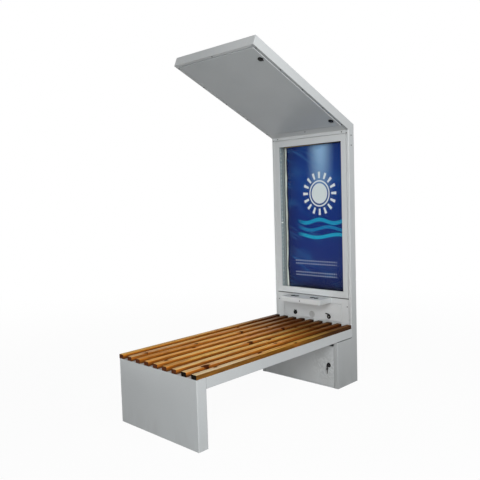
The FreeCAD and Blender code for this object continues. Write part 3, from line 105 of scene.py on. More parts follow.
# Their knots in the same order: x, offset from the slat's middle, half width.
KNOTS = [
    [(0.03, -0.002, 0.006), (0.43, -0.010, 0.006)],
    [(-0.71, -0.012, 0.008), (0.18, 0.008, 0.006)],
    [(-0.35, -0.011, 0.008), (0.10, -0.014, 0.009)],
    [(-0.43, 0.012, 0.008), (0.31, 0.004, 0.007)],
    [(-0.74, 0.008, 0.008), (0.37, -0.014, 0.009)],
    [(-0.09, -0.012, 0.012), (0.45, 0.010, 0.006)],
    [(0.04, 0.012, 0.009), (0.50, 0.002, 0.006)],
    [(-0.67, -0.010, 0.015), (-0.01, 0.000, 0.008)],
    [(-0.65, 0.014, 0.007), (-0.26, 0.012, 0.009), (0.08, -0.012, 0.007)],
]
KNOT_SPREAD = 1.35  # from a knot's half width to that of its stain
# How pale the top of a slat is towards the leg, by the number in its name.
FADED = {2: 0.30, 5: 0.15, 7: 0.30, 8: 0.40, 9: 0.75}
# How much painted shade darkens the slats at the tower, by number, and the value of those not
# named.
SHADED_TIPS = {8: 0.45, 9: 0.0}
SHADED_TIP = 0.80
FRONT_SLAT = 9
# The inner slats' flanks are painted lighter than the front one's, as painted light in their shade.
FRONT_SIDE, SLAT_SIDE_LIT = (0.29, 0.115, 0.012), (0.62, 0.185, 0.020)
DARK_ENDED = (8, 9)  # slats whose end grain is painted black
PAINTED_END, BARE_END = (0.008, 0.006, 0.004), (0.13, 0.042, 0.018)

PRINT_TALL = 1152.0 / 606.0  # height of the poster's design for a width of 1
# Bands of waves on the poster: height, depth, waves across, colour.
WAVES = [
    (0.470, 0.026, 2.1, (0.01, 0.36, 0.62)),
    (0.420, 0.022, 1.7, (0.008, 0.22, 0.50)),
    (0.370, 0.024, 1.4, (0.012, 0.42, 0.66)),
]


# Shader graphs


class Graph:
    """A material's node tree, with a short call for each node used here."""

    def __init__(self, name, colour):
        self.material = bpy.data.materials.new(name)
        self.material.use_nodes = True
        self.material.diffuse_color = (*colour, 1)
        self.tree = self.material.node_tree
        self.tree.nodes.clear()
        self.output = self.add("OutputMaterial")
        self.coords = self.add("TexCoord").outputs["Object"]

    def add(self, kind, settings=None, **inputs):
        node = self.tree.nodes.new("ShaderNode" + kind)
        for key, value in (settings or {}).items():
            setattr(node, key, value)
        for key, value in inputs.items():
            self.put(node.inputs[key.replace("_", " ")], value)
        return node

    def put(self, socket, value):
        if isinstance(value, bpy.types.NodeSocket):
            self.tree.links.new(value, socket)
        elif socket.type == "RGBA" and len(value) == 3:
            socket.default_value = (*value, 1)
        else:
            socket.default_value = value

    def put_all(self, sockets, values):
        for socket, value in zip(sockets, values):
            self.put(socket, value)

    def math(self, operation, a, b=0.0):
        node = self.add("Math", {"operation": operation})
        self.put_all(node.inputs, (a, b))
        return node.outputs[0]

    def plus(self, a, b):
        return self.math("ADD", a, b)

    def minus(self, a, b):
        return self.math("SUBTRACT", a, b)

    def times(self, a, b):
        return self.math("MULTIPLY", a, b)

    def most(self, a, b):
        return self.math("MAXIMUM", a, b)

    def size(self, a):
        return self.math("ABSOLUTE", a)

    def above(self, a, limit):
        return self.math("GREATER_THAN", a, limit)

    def below(self, a, limit):
        return self.math("LESS_THAN", a, limit)

    def vector(self, operation, a, b=(0, 0, 0)):
        node = self.add("VectorMath", {"operation": operation})
        self.put_all(node.inputs, (a, b))
        return node.outputs["Value"] if operation in ("LENGTH", "DOT_PRODUCT") else node.outputs[0]

    def length(self, vector):
        return self.vector("LENGTH", vector)

    def dot(self, a, b):
        return self.vector("DOT_PRODUCT", a, b)

    def stretched(self, factors, vector=None):
        return self.vector("MULTIPLY", vector or self.coords, factors)

    def split(self, vector):
        return self.add("SeparateXYZ", Vector=vector).outputs

    def joined(self, x=0.0, y=0.0, z=0.0):
        return self.add("CombineXYZ", X=x, Y=y, Z=z).outputs[0]

    def facing(self):
        """The direction that a face looks, fixed to its piece."""
        return self.add("TexCoord").outputs["Normal"]

    def noise(self, scale, detail=2.0, roughness=0.5, vector=None, distortion=0.0):
        return self.add(
            "TexNoise", Vector=vector or self.coords, Scale=scale, Detail=detail,
            Roughness=roughness, Distortion=distortion,
        ).outputs["Fac"]

    def span(self, value, low, high, to_low=0.0, to_high=1.0, smooth=False):
        kind = {"interpolation_type": "SMOOTHSTEP"} if smooth else None
        node = self.add("MapRange", kind)
        self.put_all(node.inputs, (value, low, high, to_low, to_high))
        return node.outputs[0]

    def between(self, value, rise, fall):
        """1 between two borders; each is given by where it starts and where it ends."""
        return self.times(self.span(value, *rise), self.span(value, *fall, 1.0, 0.0))

    def mix(self, fac, a, b, blend="MIX"):
        node = self.add("Mix", {"data_type": "RGBA", "blend_type": blend})
        self.put(node.inputs[0], fac)
        self.put_all(node.inputs[6:8], (a, b))
        return node.outputs[2]

    def tinted(self, colour, factor):
        return self.mix(1.0, colour, factor, "MULTIPLY")

    def shaded(self, colour, factor):
        return self.tinted(colour, self.joined(factor, factor, factor))

    def ramp(self, fac, stops):
        node = self.add("ValToRGB", Fac=fac)
        elements = node.color_ramp.elements
        while len(elements) < len(stops):
            elements.new(1.0)
        for element, (place, colour) in zip(elements, stops):
            element.position = place
            element.color = (*colour, 1)
        return node.outputs[0]

    def mixed_shader(self, fac, a, b):
        node = self.add("MixShader", Fac=fac)
        self.put_all(node.inputs[1:3], (a, b))
        return node.outputs[0]

    def bump(self, height, strength, distance, normal=None):
        node = self.add("Bump", Height=height, Strength=strength, Distance=distance)
        if normal is not None:
            self.put(node.inputs["Normal"], normal)
        return node.outputs[0]

    def surface(self, colour, roughness, metallic=0.0, normal=None, **more):
        node = self.add(
            "BsdfPrincipled", Base_Color=colour, Roughness=roughness, Metallic=metallic, **more
        )
        if normal is not None:
            self.put(node.inputs["Normal"], normal)
        return self.finished(node.outputs[0])

    def finished(self, shader):
        self.put(self.output.inputs["Surface"], shader)
        return self.material


# Paint, metal and plastic


def handling_marks(g, colour, y, z, place):
    """Curved wipes, some dull and some bright, round place: (y, z, radius)."""
    across = g.joined(g.minus(y, place[0]), g.minus(z, place[1]))
    far = g.length(across)
    warped = g.noise(11.0, 2.0, 0.5, across, 1.6)
    bands = g.math("SINE", g.times(g.plus(far, warped), 38.0))
    worn = g.span(far, 0.02, place[2], 1.0, 0.0, smooth=True)
    colour = g.mix(g.times(worn, g.span(bands, -0.2, 1.0, 0.0, 0.42)), colour, WIPED_DULL)
    return g.mix(g.times(worn, g.span(bands, -1.0, -0.3, 0.4, 0.0)), colour, WIPED_BRIGHT)


def powder_coat(
    name, tone, waves=0.12, seam=None, disc=None, ground=0.0, under=None, rim=None, smudge=None
):
    """Satin powder coat: fine orange peel, faint sheet waviness, a little dust near the ground.

    seam is the height of a joint, (low, high), painted dark as shade; disc is a perforated round,
    (y, z, radius); ground is how much painted shade darkens the lower part; under is the painted
    shade of the canopy's underside along its near edge, and rim the painted highlight on the faces
    square to Y; smudge is (y, z, radius) of handling marks.
    """
    g = Graph(name, tone)
    _, y, z = g.split(g.coords)
    pale = tuple(c * 1.03 for c in tone)
    deep = (tone[0] * 0.95, tone[1] * 0.96, tone[2] * 0.965)
    colour = g.mix(g.span(g.noise(1.7, 3.0), 0.3, 0.7), deep, pale)
    colour = g.shaded(colour, g.span(g.noise(260.0, 2.0, 0.6), 0.35, 0.65, 0.97, 1.02))
    # Painted shade: the underside darkens along its near rim.
    if under:
        down = g.span(g.dot(g.facing(), CANOPY_DOWN), 0.80, 0.95)
        near = g.span(y, CANOPY_NEAR_RIM - 0.002, CANOPY_NEAR_RIM + 0.002, 1.0, 0.0)
        colour = g.mix(g.times(down, near), colour, under)
    # Painted highlight: the faces square to Y are lighter.
    if rim:
        aside = g.size(g.split(g.facing())[1])
        colour = g.mix(g.span(aside, 0.5, 0.8), colour, rim)
    if smudge:
        colour = handling_marks(g, colour, y, z, smudge)
    streaks = g.noise(9.0, 4.0, 0.6, g.stretched((1.0, 1.0, 0.25)))
    low = g.span(z, 0.0, DUST_TOP, 1.0, 0.0, smooth=True)
    colour = g.mix(g.times(low, g.span(streaks, 0.42, 0.72, 0.0, 0.22)), colour, ROAD_DUST)
    # Painted shade: the paint darkens towards the ground, in streaks.
    if ground:
        low_shade = g.span(z, LOW_SHADE_BOTTOM, LOW_SHADE_TOP, ground, 0.0)
        low_shade = g.times(low_shade, g.span(streaks, 0.3, 0.7, 0.85, 1.0))
        colour = g.mix(low_shade, colour, LOW_SHADE)
    # Painted shade along the joint between two parts.
    if seam:
        inside = g.times(g.above(z, seam[0]), g.below(z, seam[1]))
        colour = g.mix(g.times(inside, 0.88), colour, SEAM_SHADE)
    orange_peel = g.bump(g.noise(420.0, 2.0, 0.5), 0.10, 0.0006)
    normal = g.bump(g.noise(3.2, 1.0), waves, 0.004, orange_peel)
    if disc:
        reach = g.length(g.joined(g.minus(y, disc[0]), g.minus(z, disc[1])))
        round_area = g.span(reach, disc[2] * 0.93, disc[2], 1.0, 0.0, smooth=True)
        colour = g.mix(g.times(round_area, 0.30), colour, PERFORATED)
        normal = g.bump(round_area, 0.5, 0.0008, normal)
    return g.surface(
        colour, g.span(g.noise(6.0, 3.0), 0.3, 0.7, 0.36, 0.47), 0.0, normal,
        Specular_IOR_Level=0.36, Coat_Weight=0.07, Coat_Roughness=0.22,
    )


def metal(name, tone, roughness=0.35, stretch=(60.0, 60.0, 4.0), patches=0.12, metallic=1.0):
    """Bare or plated metal with fine drawn lines and slight patches."""
    g = Graph(name, tone)
    lines = g.noise(18.0, 3.0, 0.6, g.stretched(stretch))
    tint = g.shaded(tone, g.span(g.noise(22.0, 3.0), 0.3, 0.7, 1.0 - patches, 1.0 + patches))
    rough = g.span(lines, 0.25, 0.75, roughness - 0.07, roughness + 0.09)
    return g.surface(tint, rough, metallic, g.bump(lines, 0.12, 0.0004))


def galvanised(name):
    """Zinc coat with its patchwork of crystals."""
    g = Graph(name, (0.5, 0.52, 0.53))
    shade = g.split(g.add("TexVoronoi", Vector=g.coords, Scale=95.0).outputs["Color"])[0]
    colour = g.mix(shade, (0.40, 0.42, 0.43), (0.62, 0.64, 0.65))
    rough = g.span(shade, 0.0, 1.0, 0.32, 0.5)
    return g.surface(colour, rough, 0.85, g.bump(g.noise(150.0, 2.0), 0.08, 0.0004))


def plastic(name, tone, roughness, grain=0.12, gloss=0.5):
    """Moulded plastic with a fine eroded grain."""
    g = Graph(name, tone)
    colour = g.shaded(tone, g.span(g.noise(35.0, 3.0), 0.3, 0.7, 0.9, 1.1))
    rough = g.span(g.noise(70.0, 3.0), 0.3, 0.7, roughness - 0.06, roughness + 0.08)
    normal = g.bump(g.noise(1900.0, 2.0, 0.6), grain, 0.0002)
    return g.surface(colour, rough, 0.0, normal, Specular_IOR_Level=gloss)


def spare_key_finish():
    """Black moulded bow between a plated ring above it and a plated blade below it."""
    g = Graph("spare_key", (0.05, 0.05, 0.05))
    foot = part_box("spare_key")[0].z
    blade_top, ring_bottom = foot + 0.0265, foot + 0.0495
    z = g.split(g.coords)[2]
    bare = g.most(g.below(z, blade_top), g.above(z, ring_bottom))
    lines = g.noise(18.0, 3.0, 0.6, g.stretched((40.0, 40.0, 160.0)))
    plated = g.mix(g.span(lines, 0.3, 0.7), (0.085, 0.085, 0.083), (0.13, 0.13, 0.125))
    colour = g.mix(bare, MOULDED_BLACK, plated)
    rough = g.span(lines, 0.25, 0.75, 0.38, 0.5)
    return g.surface(colour, rough, bare, g.bump(lines, 0.1, 0.0002))


def controller_finish():
    """Dark anodised case with fine lines up and down."""
    g = Graph("controller_case", (0.10, 0.11, 0.13))
    lines = g.noise(20.0, 3.0, 0.6, g.stretched((40.0, 40.0, 2.0)))
    colour = g.mix(g.span(lines, 0.3, 0.7), (0.07, 0.08, 0.10), (0.12, 0.13, 0.15))
    rough = g.span(lines, 0.2, 0.8, 0.35, 0.5)
    return g.surface(colour, rough, 0.8, g.bump(lines, 0.1, 0.0003))


def battery_finish():
    """Blue-grey moulded case with ribs round it and lead-grey terminals."""
    g = Graph("battery_case", (0.05, 0.07, 0.11))
    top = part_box("battery")[1].z
    lid_bottom, post_bottom, rib_pitch = top - 0.045, top - 0.0079, 0.018
    x, y, z = g.split(g.coords)
    lid = g.span(z, lid_bottom, lid_bottom + 0.002)
    post = g.span(z, post_bottom, post_bottom + 0.0004)
    case = g.mix(lid, (0.045, 0.06, 0.10), (0.02, 0.022, 0.026))
    mottle = g.span(g.noise(60.0, 3.0), 0.35, 0.7, 0.0, 0.3)
    colour = g.mix(post, g.mix(mottle, case, (0.09, 0.10, 0.12)), (0.34, 0.34, 0.35))
    ribs = g.math("SINE", g.times(g.plus(x, y), 2 * math.pi / rib_pitch))
    relief = g.times(g.span(ribs, 0.5, 0.8), g.minus(1.0, lid))
    normal = g.bump(relief, 0.6, 0.0015, g.bump(g.noise(900.0), 0.1, 0.0003))
    return g.surface(colour, g.span(g.noise(40.0), 0.3, 0.7, 0.35, 0.5), post, normal)


# Wood


def knot_field(g, x, y, knots):
    """Knots at (x, y, size): their stain, their wider halo, and Y with the grain led round them."""
    stain, halo, flow = 0.0, 0.0, y
    for along, across, size in knots:
        dx, dy = g.minus(x, along), g.minus(y, across)
        far = g.length(g.joined(g.times(dx, 1 / (size * 1.5)), g.times(dy, 1 / (size * 0.8))))
        wobble = g.plus(far, g.span(g.noise(90.0, 2.0), 0.3, 0.7, -0.25, 0.25))
        stain = g.most(stain, g.span(wobble, 0.75, 1.35, 1.0, 0.0, smooth=True))
        near = g.span(far, 0.6, 4.2, 1.0, 0.0, smooth=True)
        halo = g.most(halo, near)
        flow = g.plus(flow, g.times(near, g.times(dy, -0.75)))
    return stain, halo, flow


def wood(name, seed, honey, side, end, knots, foot, faded, tip):
    """Varnished pine with its growth lines along X, knots at (x, y, size) and end grain.

    Painted shade darkens the sides from the second height of foot down to the first, or not if
    foot is None; faded is how pale the top is towards the leg, tip the painted shade at the tower.
    """
    g = Graph(name, honey)
    x, y, z = g.split(g.coords)
    stain, halo, flow = knot_field(g, x, y, knots)
    place = g.joined(g.times(x, 0.75), flow, z)
    offset = g.vector("ADD", place, (seed * 1.7, seed * 0.61, seed * 0.37))
    waves = g.noise(4.0, 2.0, 0.5, g.stretched((1.1, 6.0, 6.0), offset))
    along, across, up = g.split(offset)
    bent = g.joined(
        g.times(along, 0.9), g.plus(g.times(across, 26.0), g.times(waves, 1.6)), g.times(up, 26.0)
    )
    rings = g.noise(2.6, 5.0, 0.58, bent, 0.3)
    fibres = g.noise(9.0, 3.0, 0.6, g.stretched((3.0, 95.0, 95.0), offset))
    broad = g.noise(2.2, 2.0, 0.5, g.stretched((1.0, 9.0, 9.0), offset))
    streaks = g.noise(3.0, 3.0, 0.55, g.stretched((0.9, 30.0, 30.0), offset))
    late = g.span(rings, 0.42, 0.60, smooth=True)

    pale = (min(1.0, honey[0] * 1.55), min(1.0, honey[1] * 1.90), min(1.0, honey[2] * 2.5))
    rust = (honey[0] * 0.80, honey[1] * 0.48, honey[2] * 0.36)
    dark = (honey[0] * 0.40, honey[1] * 0.24, honey[2] * 0.20)
    colour = g.mix(late, pale, honey)
    colour = g.mix(g.span(rings, 0.56, 0.70, 0.0, 0.85, smooth=True), colour, rust)
    colour = g.mix(g.span(rings, 0.66, 0.78, 0.0, 0.8, smooth=True), colour, dark)
    colour = g.mix(g.span(broad, 0.47, 0.62, 0.0, 0.72, smooth=True), colour, rust)
    colour = g.mix(g.span(streaks, 0.54, 0.66, 0.0, 0.85, smooth=True), colour, pale)
    colour = g.mix(g.span(fibres, 0.5, 0.72, 0.0, 0.35), colour, dark)
    if faded:
        towards_leg = g.span(x, -0.65, -0.15, faded, 0.0, smooth=True)
        worn = g.times(towards_leg, g.span(streaks, 0.35, 0.6, 0.55, 1.0))
        colour = g.mix(worn, colour, WORN_PALE)

    facing = g.split(g.facing())
    flank = g.mix(late, side, tuple(c * 0.55 for c in side))
    # Painted shade: the flanks darken down into the gaps between the slats.
    if foot:
        flank_shade = g.span(z, foot[0], foot[1], 0.90, 0.0, smooth=True)
        flank = g.mix(flank_shade, flank, GAP_SHADE)
    sideways = g.span(g.size(facing[1]), 0.35, 0.85, 0.0, 0.97, smooth=True)
    colour = g.mix(sideways, colour, flank)
    colour = g.mix(g.times(halo, 0.40), colour, rust)
    colour = g.mix(g.times(stain, 0.96), colour, KNOT_DARK)
    # Painted shade: darker towards the tower, which shades the slats.
    tower_shade = g.span(x, -0.06, 0.62, 0.0, 0.95, smooth=True)
    colour = g.mix(tower_shade, colour, g.tinted(colour, TOWER_SHADE))
    # Painted shade at the tips, in the gap by the tower.
    colour = g.mix(g.span(x, 0.685, 0.735, 0.0, tip, smooth=True), colour, TIP_SHADE_TONE)

    pith = g.joined(0.0, g.plus(y, 0.02 + 0.013 * seed), g.minus(z, 0.40))
    ring_wave = g.math("SINE", g.times(g.length(pith), 1900.0))
    end_tone = g.mix(g.span(ring_wave, -1.0, 1.0, 0.0, 0.55), end, tuple(c * 0.40 for c in end))
    ends = g.span(g.size(facing[0]), 0.7, 0.9)
    colour = g.mix(ends, colour, end_tone)
    rough = g.plus(g.span(rings, 0.3, 0.7, 0.46, 0.62), g.times(ends, 0.3))
    height = g.plus(g.times(rings, 0.6), g.times(fibres, 0.4))
    return g.surface(
        colour, rough, 0.0, g.bump(height, 0.2, 0.0007),
        Specular_IOR_Level=g.span(stain, 0.0, 0.6, 0.055, 0.0),
    )


# Light box and solar panel


def tray_finish():
    """White paint; the side walls carry the light bars' bare aluminium strips, in painted shade."""
    g = Graph("tray_white", (0.66, 0.67, 0.67))
    x, y, _ = g.split(g.coords)
    poster_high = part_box("poster")[1]
    bars_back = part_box("led_bars")[1].x
    aside = g.size(y)
    wall = g.above(aside, poster_high.y - 0.001)
    # Painted shade: the side wall before the poster is a darker grey-blue.
    shaded_strip = g.times(wall, g.below(x, poster_high.x + 0.0005))
    lines = g.noise(20.0, 3.0, 0.6, g.stretched((60.0, 60.0, 2.0)))
    mottle = g.span(g.noise(30.0, 3.0), 0.3, 0.7)
    white = g.mix(mottle, (0.64, 0.65, 0.65), (0.69, 0.70, 0.70))
    bare = g.mix(g.span(lines, 0.3, 0.7), (0.24, 0.265, 0.28), (0.34, 0.365, 0.375))
    colour = g.mix(shaded_strip, white, bare)
    # Painted shadow: a dark band between the light bars and the poster's edge.
    beside_poster = g.span(g.minus(aside, poster_high.y), 0.009, 0.012, 1.0, 0.0)
    shadow_behind_bars = g.times(shaded_strip, g.above(x, bars_back + 0.006))
    colour = g.mix(g.times(shadow_behind_bars, beside_poster), colour, (0.05, 0.055, 0.06))
    rough = g.span(lines, 0.2, 0.8, 0.38, 0.5)
    return g.surface(colour, rough, 0.0, g.bump(lines, 0.08, 0.0003))


def led_finish():
    """Opal cover over a row of dim light points, and a pale clip where two lengths meet."""
    g = Graph("led_cover", (0.42, 0.47, 0.50))
    low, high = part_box("led_bars")
    point_pitch = 0.033
    clip_share = 0.46  # the clip's height as a share of the bars'
    z = g.split(g.coords)[2]
    wave = g.math("COSINE", g.times(z, 2 * math.pi / point_pitch))
    points = g.span(wave, 0.55, 1.0, 0.0, 0.35, smooth=True)
    opal = g.mix(g.span(g.noise(30.0, 3.0), 0.3, 0.7), (0.24, 0.275, 0.30), (0.36, 0.40, 0.42))
    colour = g.mix(points, opal, (0.55, 0.58, 0.57))
    from_clip = g.size(g.minus(z, low.z + clip_share * (high.z - low.z)))
    colour = g.mix(g.span(from_clip, 0.0095, 0.0105, 1.0, 0.0), colour, (0.025, 0.028, 0.03))
    clip = g.span(from_clip, 0.0065, 0.0075, 1.0, 0.0)
    colour = g.mix(clip, colour, (0.82, 0.83, 0.82))
    rough = g.span(g.noise(50.0), 0.3, 0.7, 0.28, 0.4)
    return g.surface(colour, rough, 0.0, g.bump(g.most(points, clip), 0.2, 0.001))


def glazing_finish():
    """Clear sheet: light passes straight through, with a weak mirror image on it."""
    g = Graph("glazing", (0.9, 0.95, 0.95))
    smear = g.span(g.noise(5.0, 3.0), 0.35, 0.7, 0.02, 0.09)
    clear = g.add("BsdfTransparent", Color=(0.965, 0.985, 0.98)).outputs[0]
    gloss = g.add("BsdfGlossy", Color=(1, 1, 1), Roughness=smear).outputs[0]
    return g.finished(g.mixed_shader(0.005, clear, gloss))


def solar_finish():
    """Square cells with fine silver lines under glass, on a pale sheet, laid along the canopy."""
    g = Graph("solar_cells", (0.02, 0.03, 0.08))
    y = g.split(g.coords)[1]
    along = g.dot(g.coords, CANOPY_ALONG)
    cell_pitch, finger_pitch = 0.0885, 0.0021
    half_gap, half_bus, half_finger = 0.0012, 0.0005, 0.00012
    first_bus = 0.011
    junction_box_depth = 0.0195

    def line(value, pitch, half_width):
        turned = g.math("FRACT", g.times(value, 1 / pitch))
        return g.below(g.size(g.minus(turned, 0.5)), half_width / pitch)

    gap = g.most(line(along, cell_pitch, half_gap), line(y, cell_pitch, half_gap))
    bus = line(g.plus(y, first_bus), cell_pitch / 4, half_bus)
    fingers = line(along, finger_pitch, half_finger)
    tone = g.mix(g.span(g.noise(14.0, 2.0), 0.3, 0.7), (0.008, 0.014, 0.05), (0.014, 0.024, 0.075))
    tone = g.mix(g.times(fingers, 0.35), tone, (0.25, 0.27, 0.30))
    tone = g.mix(g.times(bus, 0.8), tone, (0.45, 0.46, 0.48))
    tone = g.mix(gap, tone, (0.52, 0.54, 0.55))
    backing = g.mix(g.span(g.noise(25.0, 2.0), 0.3, 0.7), (0.56, 0.57, 0.56), (0.62, 0.63, 0.62))
    backing = g.mix(g.times(gap, 0.5), backing, (0.66, 0.67, 0.66))
    tone = g.mix(g.above(g.dot(g.facing(), CANOPY_DOWN), -0.5), tone, backing)
    down = Vector(CANOPY_DOWN)
    lowest = max(v.co.dot(down) for v in nodes["pv_laminate"].data.vertices)
    junction_box = g.above(g.dot(g.coords, CANOPY_DOWN), lowest - junction_box_depth)
    tone = g.mix(junction_box, tone, MOULDED_BLACK)
    return g.surface(
        tone, g.span(g.noise(8.0, 3.0), 0.3, 0.7, 0.26, 0.34),
        Specular_IOR_Level=0.22, Coat_Weight=0.12, Coat_Roughness=0.10,
    )


# Poster. u runs from its far side to its near one, v from its foot to its top, both from 0 to 1.


def poster_ground(g, u, v, y, z):
    """Deep blue with a beam from the top, darker at the left, with haze and slanted strokes."""
    colour = g.ramp(v, [
        (0.0, (0.003, 0.006, 0.045)), (0.18, (0.012, 0.030, 0.18)), (0.48, (0.003, 0.024, 0.20)),
        (0.75, (0.004, 0.046, 0.27)), (1.0, (0.005, 0.030, 0.20)),
    ])
    beam_middle = 0.62
    beam = g.span(g.size(g.minus(u, beam_middle)), 0.0, 0.26, 1.0, 0.0, smooth=True)
    beam = g.times(beam, g.span(v, 0.55, 0.98))
    colour = g.mix(g.times(beam, 0.85), colour, (0.42, 0.66, 0.95))
    left = g.span(u, 0.0, 0.30, 0.60, 0.0, smooth=True)
    colour = g.mix(left, colour, (0.008, 0.010, 0.05))
    haze = g.noise(3.0, 3.0, 0.55, g.joined(g.times(y, 1.2), g.times(z, 2.8)), 0.4)
    colour = g.mix(g.span(haze, 0.52, 0.80, 0.0, 0.5, smooth=True), colour, (0.035, 0.16, 0.42))
    slanted = g.joined(
        g.plus(g.times(y, 1.4), g.times(z, 1.1)), g.minus(g.times(z, 11.0), g.times(y, 5.0))
    )
    strokes = g.span(g.noise(2.2, 3.0, 0.55, slanted, 0.3), 0.55, 0.72, 0.0, 0.55, smooth=True)
    strokes = g.times(strokes, g.span(u, 0.75, 0.30, smooth=True))
    return g.mix(strokes, colour, (0.05, 0.20, 0.50))


def poster_sun(g, colour, u, v):
    """White disc with a ring and sixteen rays."""
    middle_u, middle_v, rays_round = 0.60, 0.66, 16.0
    du, dv = g.minus(u, middle_u), g.times(g.minus(v, middle_v), PRINT_TALL)
    radius = g.length(g.joined(du, dv))
    disc = g.span(radius, 0.128, 0.134, 1.0, 0.0)
    ring = g.between(radius, (0.150, 0.156), (0.168, 0.174))
    turned = g.math("COSINE", g.times(g.math("ARCTAN2", dv, du), rays_round))
    rays = g.between(radius, (0.195, 0.200), (0.275, 0.285))
    rays = g.times(g.span(turned, 0.35, 0.55), rays)
    white = g.most(disc, g.most(ring, rays))
    return g.mix(g.times(white, 0.95), colour, (0.86, 0.88, 0.90))


def poster_waves(g, colour, u, v):
    """Three bands of waves that fade out to the left."""
    fade = g.span(u, 0.20, 0.34)
    for level, depth, across, tone in WAVES:
        crest = g.times(g.math("SINE", g.times(u, 2 * math.pi * across)), 0.012)
        offset = g.size(g.minus(v, g.plus(crest, level)))
        band = g.times(g.span(offset, depth * 0.42, depth * 0.55, 1.0, 0.0), fade)
        colour = g.mix(g.times(band, 0.9), colour, tone)
    return colour


def poster_dots(g, colour, u, v):
    """Rows of small dots at the foot, in pairs."""
    columns = 26.0
    cell_u = g.minus(g.math("FRACT", g.times(u, columns)), 0.5)
    cell_v = g.minus(g.math("FRACT", g.times(v, columns * PRINT_TALL)), 0.5)
    spot = g.span(g.length(g.joined(cell_u, cell_v)), 0.20, 0.30, 1.0, 0.0)
    pairs = g.above(g.math("SINE", g.times(v, 2 * math.pi * columns * PRINT_TALL / 4)), 0.0)
    within = g.times(
        g.between(v, (0.050, 0.055), (0.230, 0.235)), g.between(u, (0.16, 0.17), (0.86, 0.87))
    )
    spot = g.times(g.times(spot, pairs), within)
    return g.mix(g.times(spot, 0.8), colour, (0.50, 0.54, 0.70))


def poster_edges(g, colour, u, v, z):
    """Dark near side and foot, a bare paper margin at the left with its shade, painted light on
    top.
    """
    rim = g.most(
        g.span(u, 0.955, 0.985, 0.0, 0.85, smooth=True), g.span(v, 0.012, 0.03, 0.7, 0.0)
    )
    colour = g.mix(rim, colour, (0.003, 0.004, 0.016))
    wander = g.span(g.noise(4.0, 2.0, 0.5, g.joined(0.0, 0.0, z)), 0.35, 0.65, -0.010, 0.010)
    margin = g.plus(u, wander)
    shade = g.between(margin, (0.028, 0.032), (0.042, 0.065))
    colour = g.mix(g.times(shade, 0.9), colour, (0.005, 0.005, 0.010))
    colour = g.mix(g.span(margin, 0.025, 0.030, 1.0, 0.0), colour, (0.88, 0.87, 0.79))
    # Painted reflection, gold at the left, fading to painted shadow at the right, along the top
    # edge.
    reflection_to_shadow = g.mix(g.span(u, 0.1, 0.8), (0.46, 0.34, 0.17), (0.05, 0.035, 0.025))
    return g.mix(g.span(g.plus(v, g.times(wander, 0.15)), 0.9895, 0.9905), colour, reflection_to_shadow)


def poster_finish(low, high):
    """Printed sheet: a sun with rays over bands of waves and rows of dots, on deep blue."""
    g = Graph("poster_print", (0.03, 0.06, 0.28))
    _, y, z = g.split(g.coords)
    u = g.span(y, high.y, low.y)
    v = g.span(z, low.z, high.z)
    colour = poster_ground(g, u, v, y, z)
    colour = poster_sun(g, colour, u, v)
    colour = poster_waves(g, colour, u, v)
    colour = poster_dots(g, colour, u, v)
    colour = poster_edges(g, colour, u, v, z)
    paper = g.bump(g.noise(9.0, 2.0), 0.1, 0.002, g.bump(g.noise(700.0), 0.05, 0.0002))
    rough = g.span(g.noise(6.0), 0.3, 0.7, 0.50, 0.60)
    return g.surface(colour, rough, 0.0, paper, Specular_IOR_Level=0.06)


# Camera, floor, surround and lamps


def add_camera():
    azimuth, elevation, roll = (
        math.radians(angle) for angle in (CAMERA_AZIMUTH, CAMERA_ELEVATION, CAMERA_ROLL)
    )
    back = Vector((
        math.sin(azimuth) * math.cos(elevation),
        -math.cos(azimuth) * math.cos(elevation),
        math.sin(elevation),
    ))
    right = Vector((math.cos(azimuth), math.sin(azimuth), 0))
    up = back.cross(right)
    turned_right = math.cos(roll) * right + math.sin(roll) * up
    turned_up = -math.sin(roll) * right + math.cos(roll) * up
    data = bpy.data.cameras.new("view_camera")
    data.sensor_width = SENSOR_WIDTH
    data.lens = SENSOR_WIDTH * FOCAL_PIXELS / PICTURE_PIXELS
    data.clip_start = 0.05
    data.clip_end = 60.0
    rig = bpy.data.objects.new("view_camera", data)
    turn = Matrix((turned_right, turned_up, back)).transposed().to_4x4()
    rig.matrix_world = Matrix.Translation(CAMERA_PLACE) @ turn
    scene.collection.objects.link(rig)
    scene.camera = rig


def add_floor():
    """Floor that the camera sees as white, with a faint shadow on it near the object."""
    mesh = bpy.data.meshes.new("floor")
    turns = [(-1, -1), (1, -1), (1, 1), (-1, 1)]
    corners = [(x * FLOOR_HALF, y * FLOOR_HALF, -FLOOR_DROP) for x, y in turns]
    mesh.from_pydata(corners, [], [(0, 1, 2, 3)])
    floor = bpy.data.objects.new("floor", mesh)
    scene.collection.objects.link(floor)
    g = Graph("floor_white", (1, 1, 1))
    rays = g.add("LightPath").outputs
    seen = g.most(rays["Is Camera Ray"], g.most(rays["Is Glossy Ray"], rays["Is Transmission Ray"]))
    bounce = g.shaded((0.94, 0.99, 1.0), g.span(g.noise(0.8, 2.0), 0.3, 0.7, 0.40, 0.42))
    unseen = g.add("BsdfDiffuse", Color=bounce).outputs[0]
    white = g.add("BsdfDiffuse", Color=(0.92, 0.92, 0.92)).outputs[0]
    glow = g.add("Emission", Color=(1, 1, 1), Strength=1.0).outputs[0]
    glow_share = g.span(g.length(g.coords), 1.2, 6.0, 0.955, 1.0, smooth=True)
    mesh.materials.append(
        g.finished(g.mixed_shader(seen, unseen, g.mixed_shader(glow_share, white, glow)))
    )


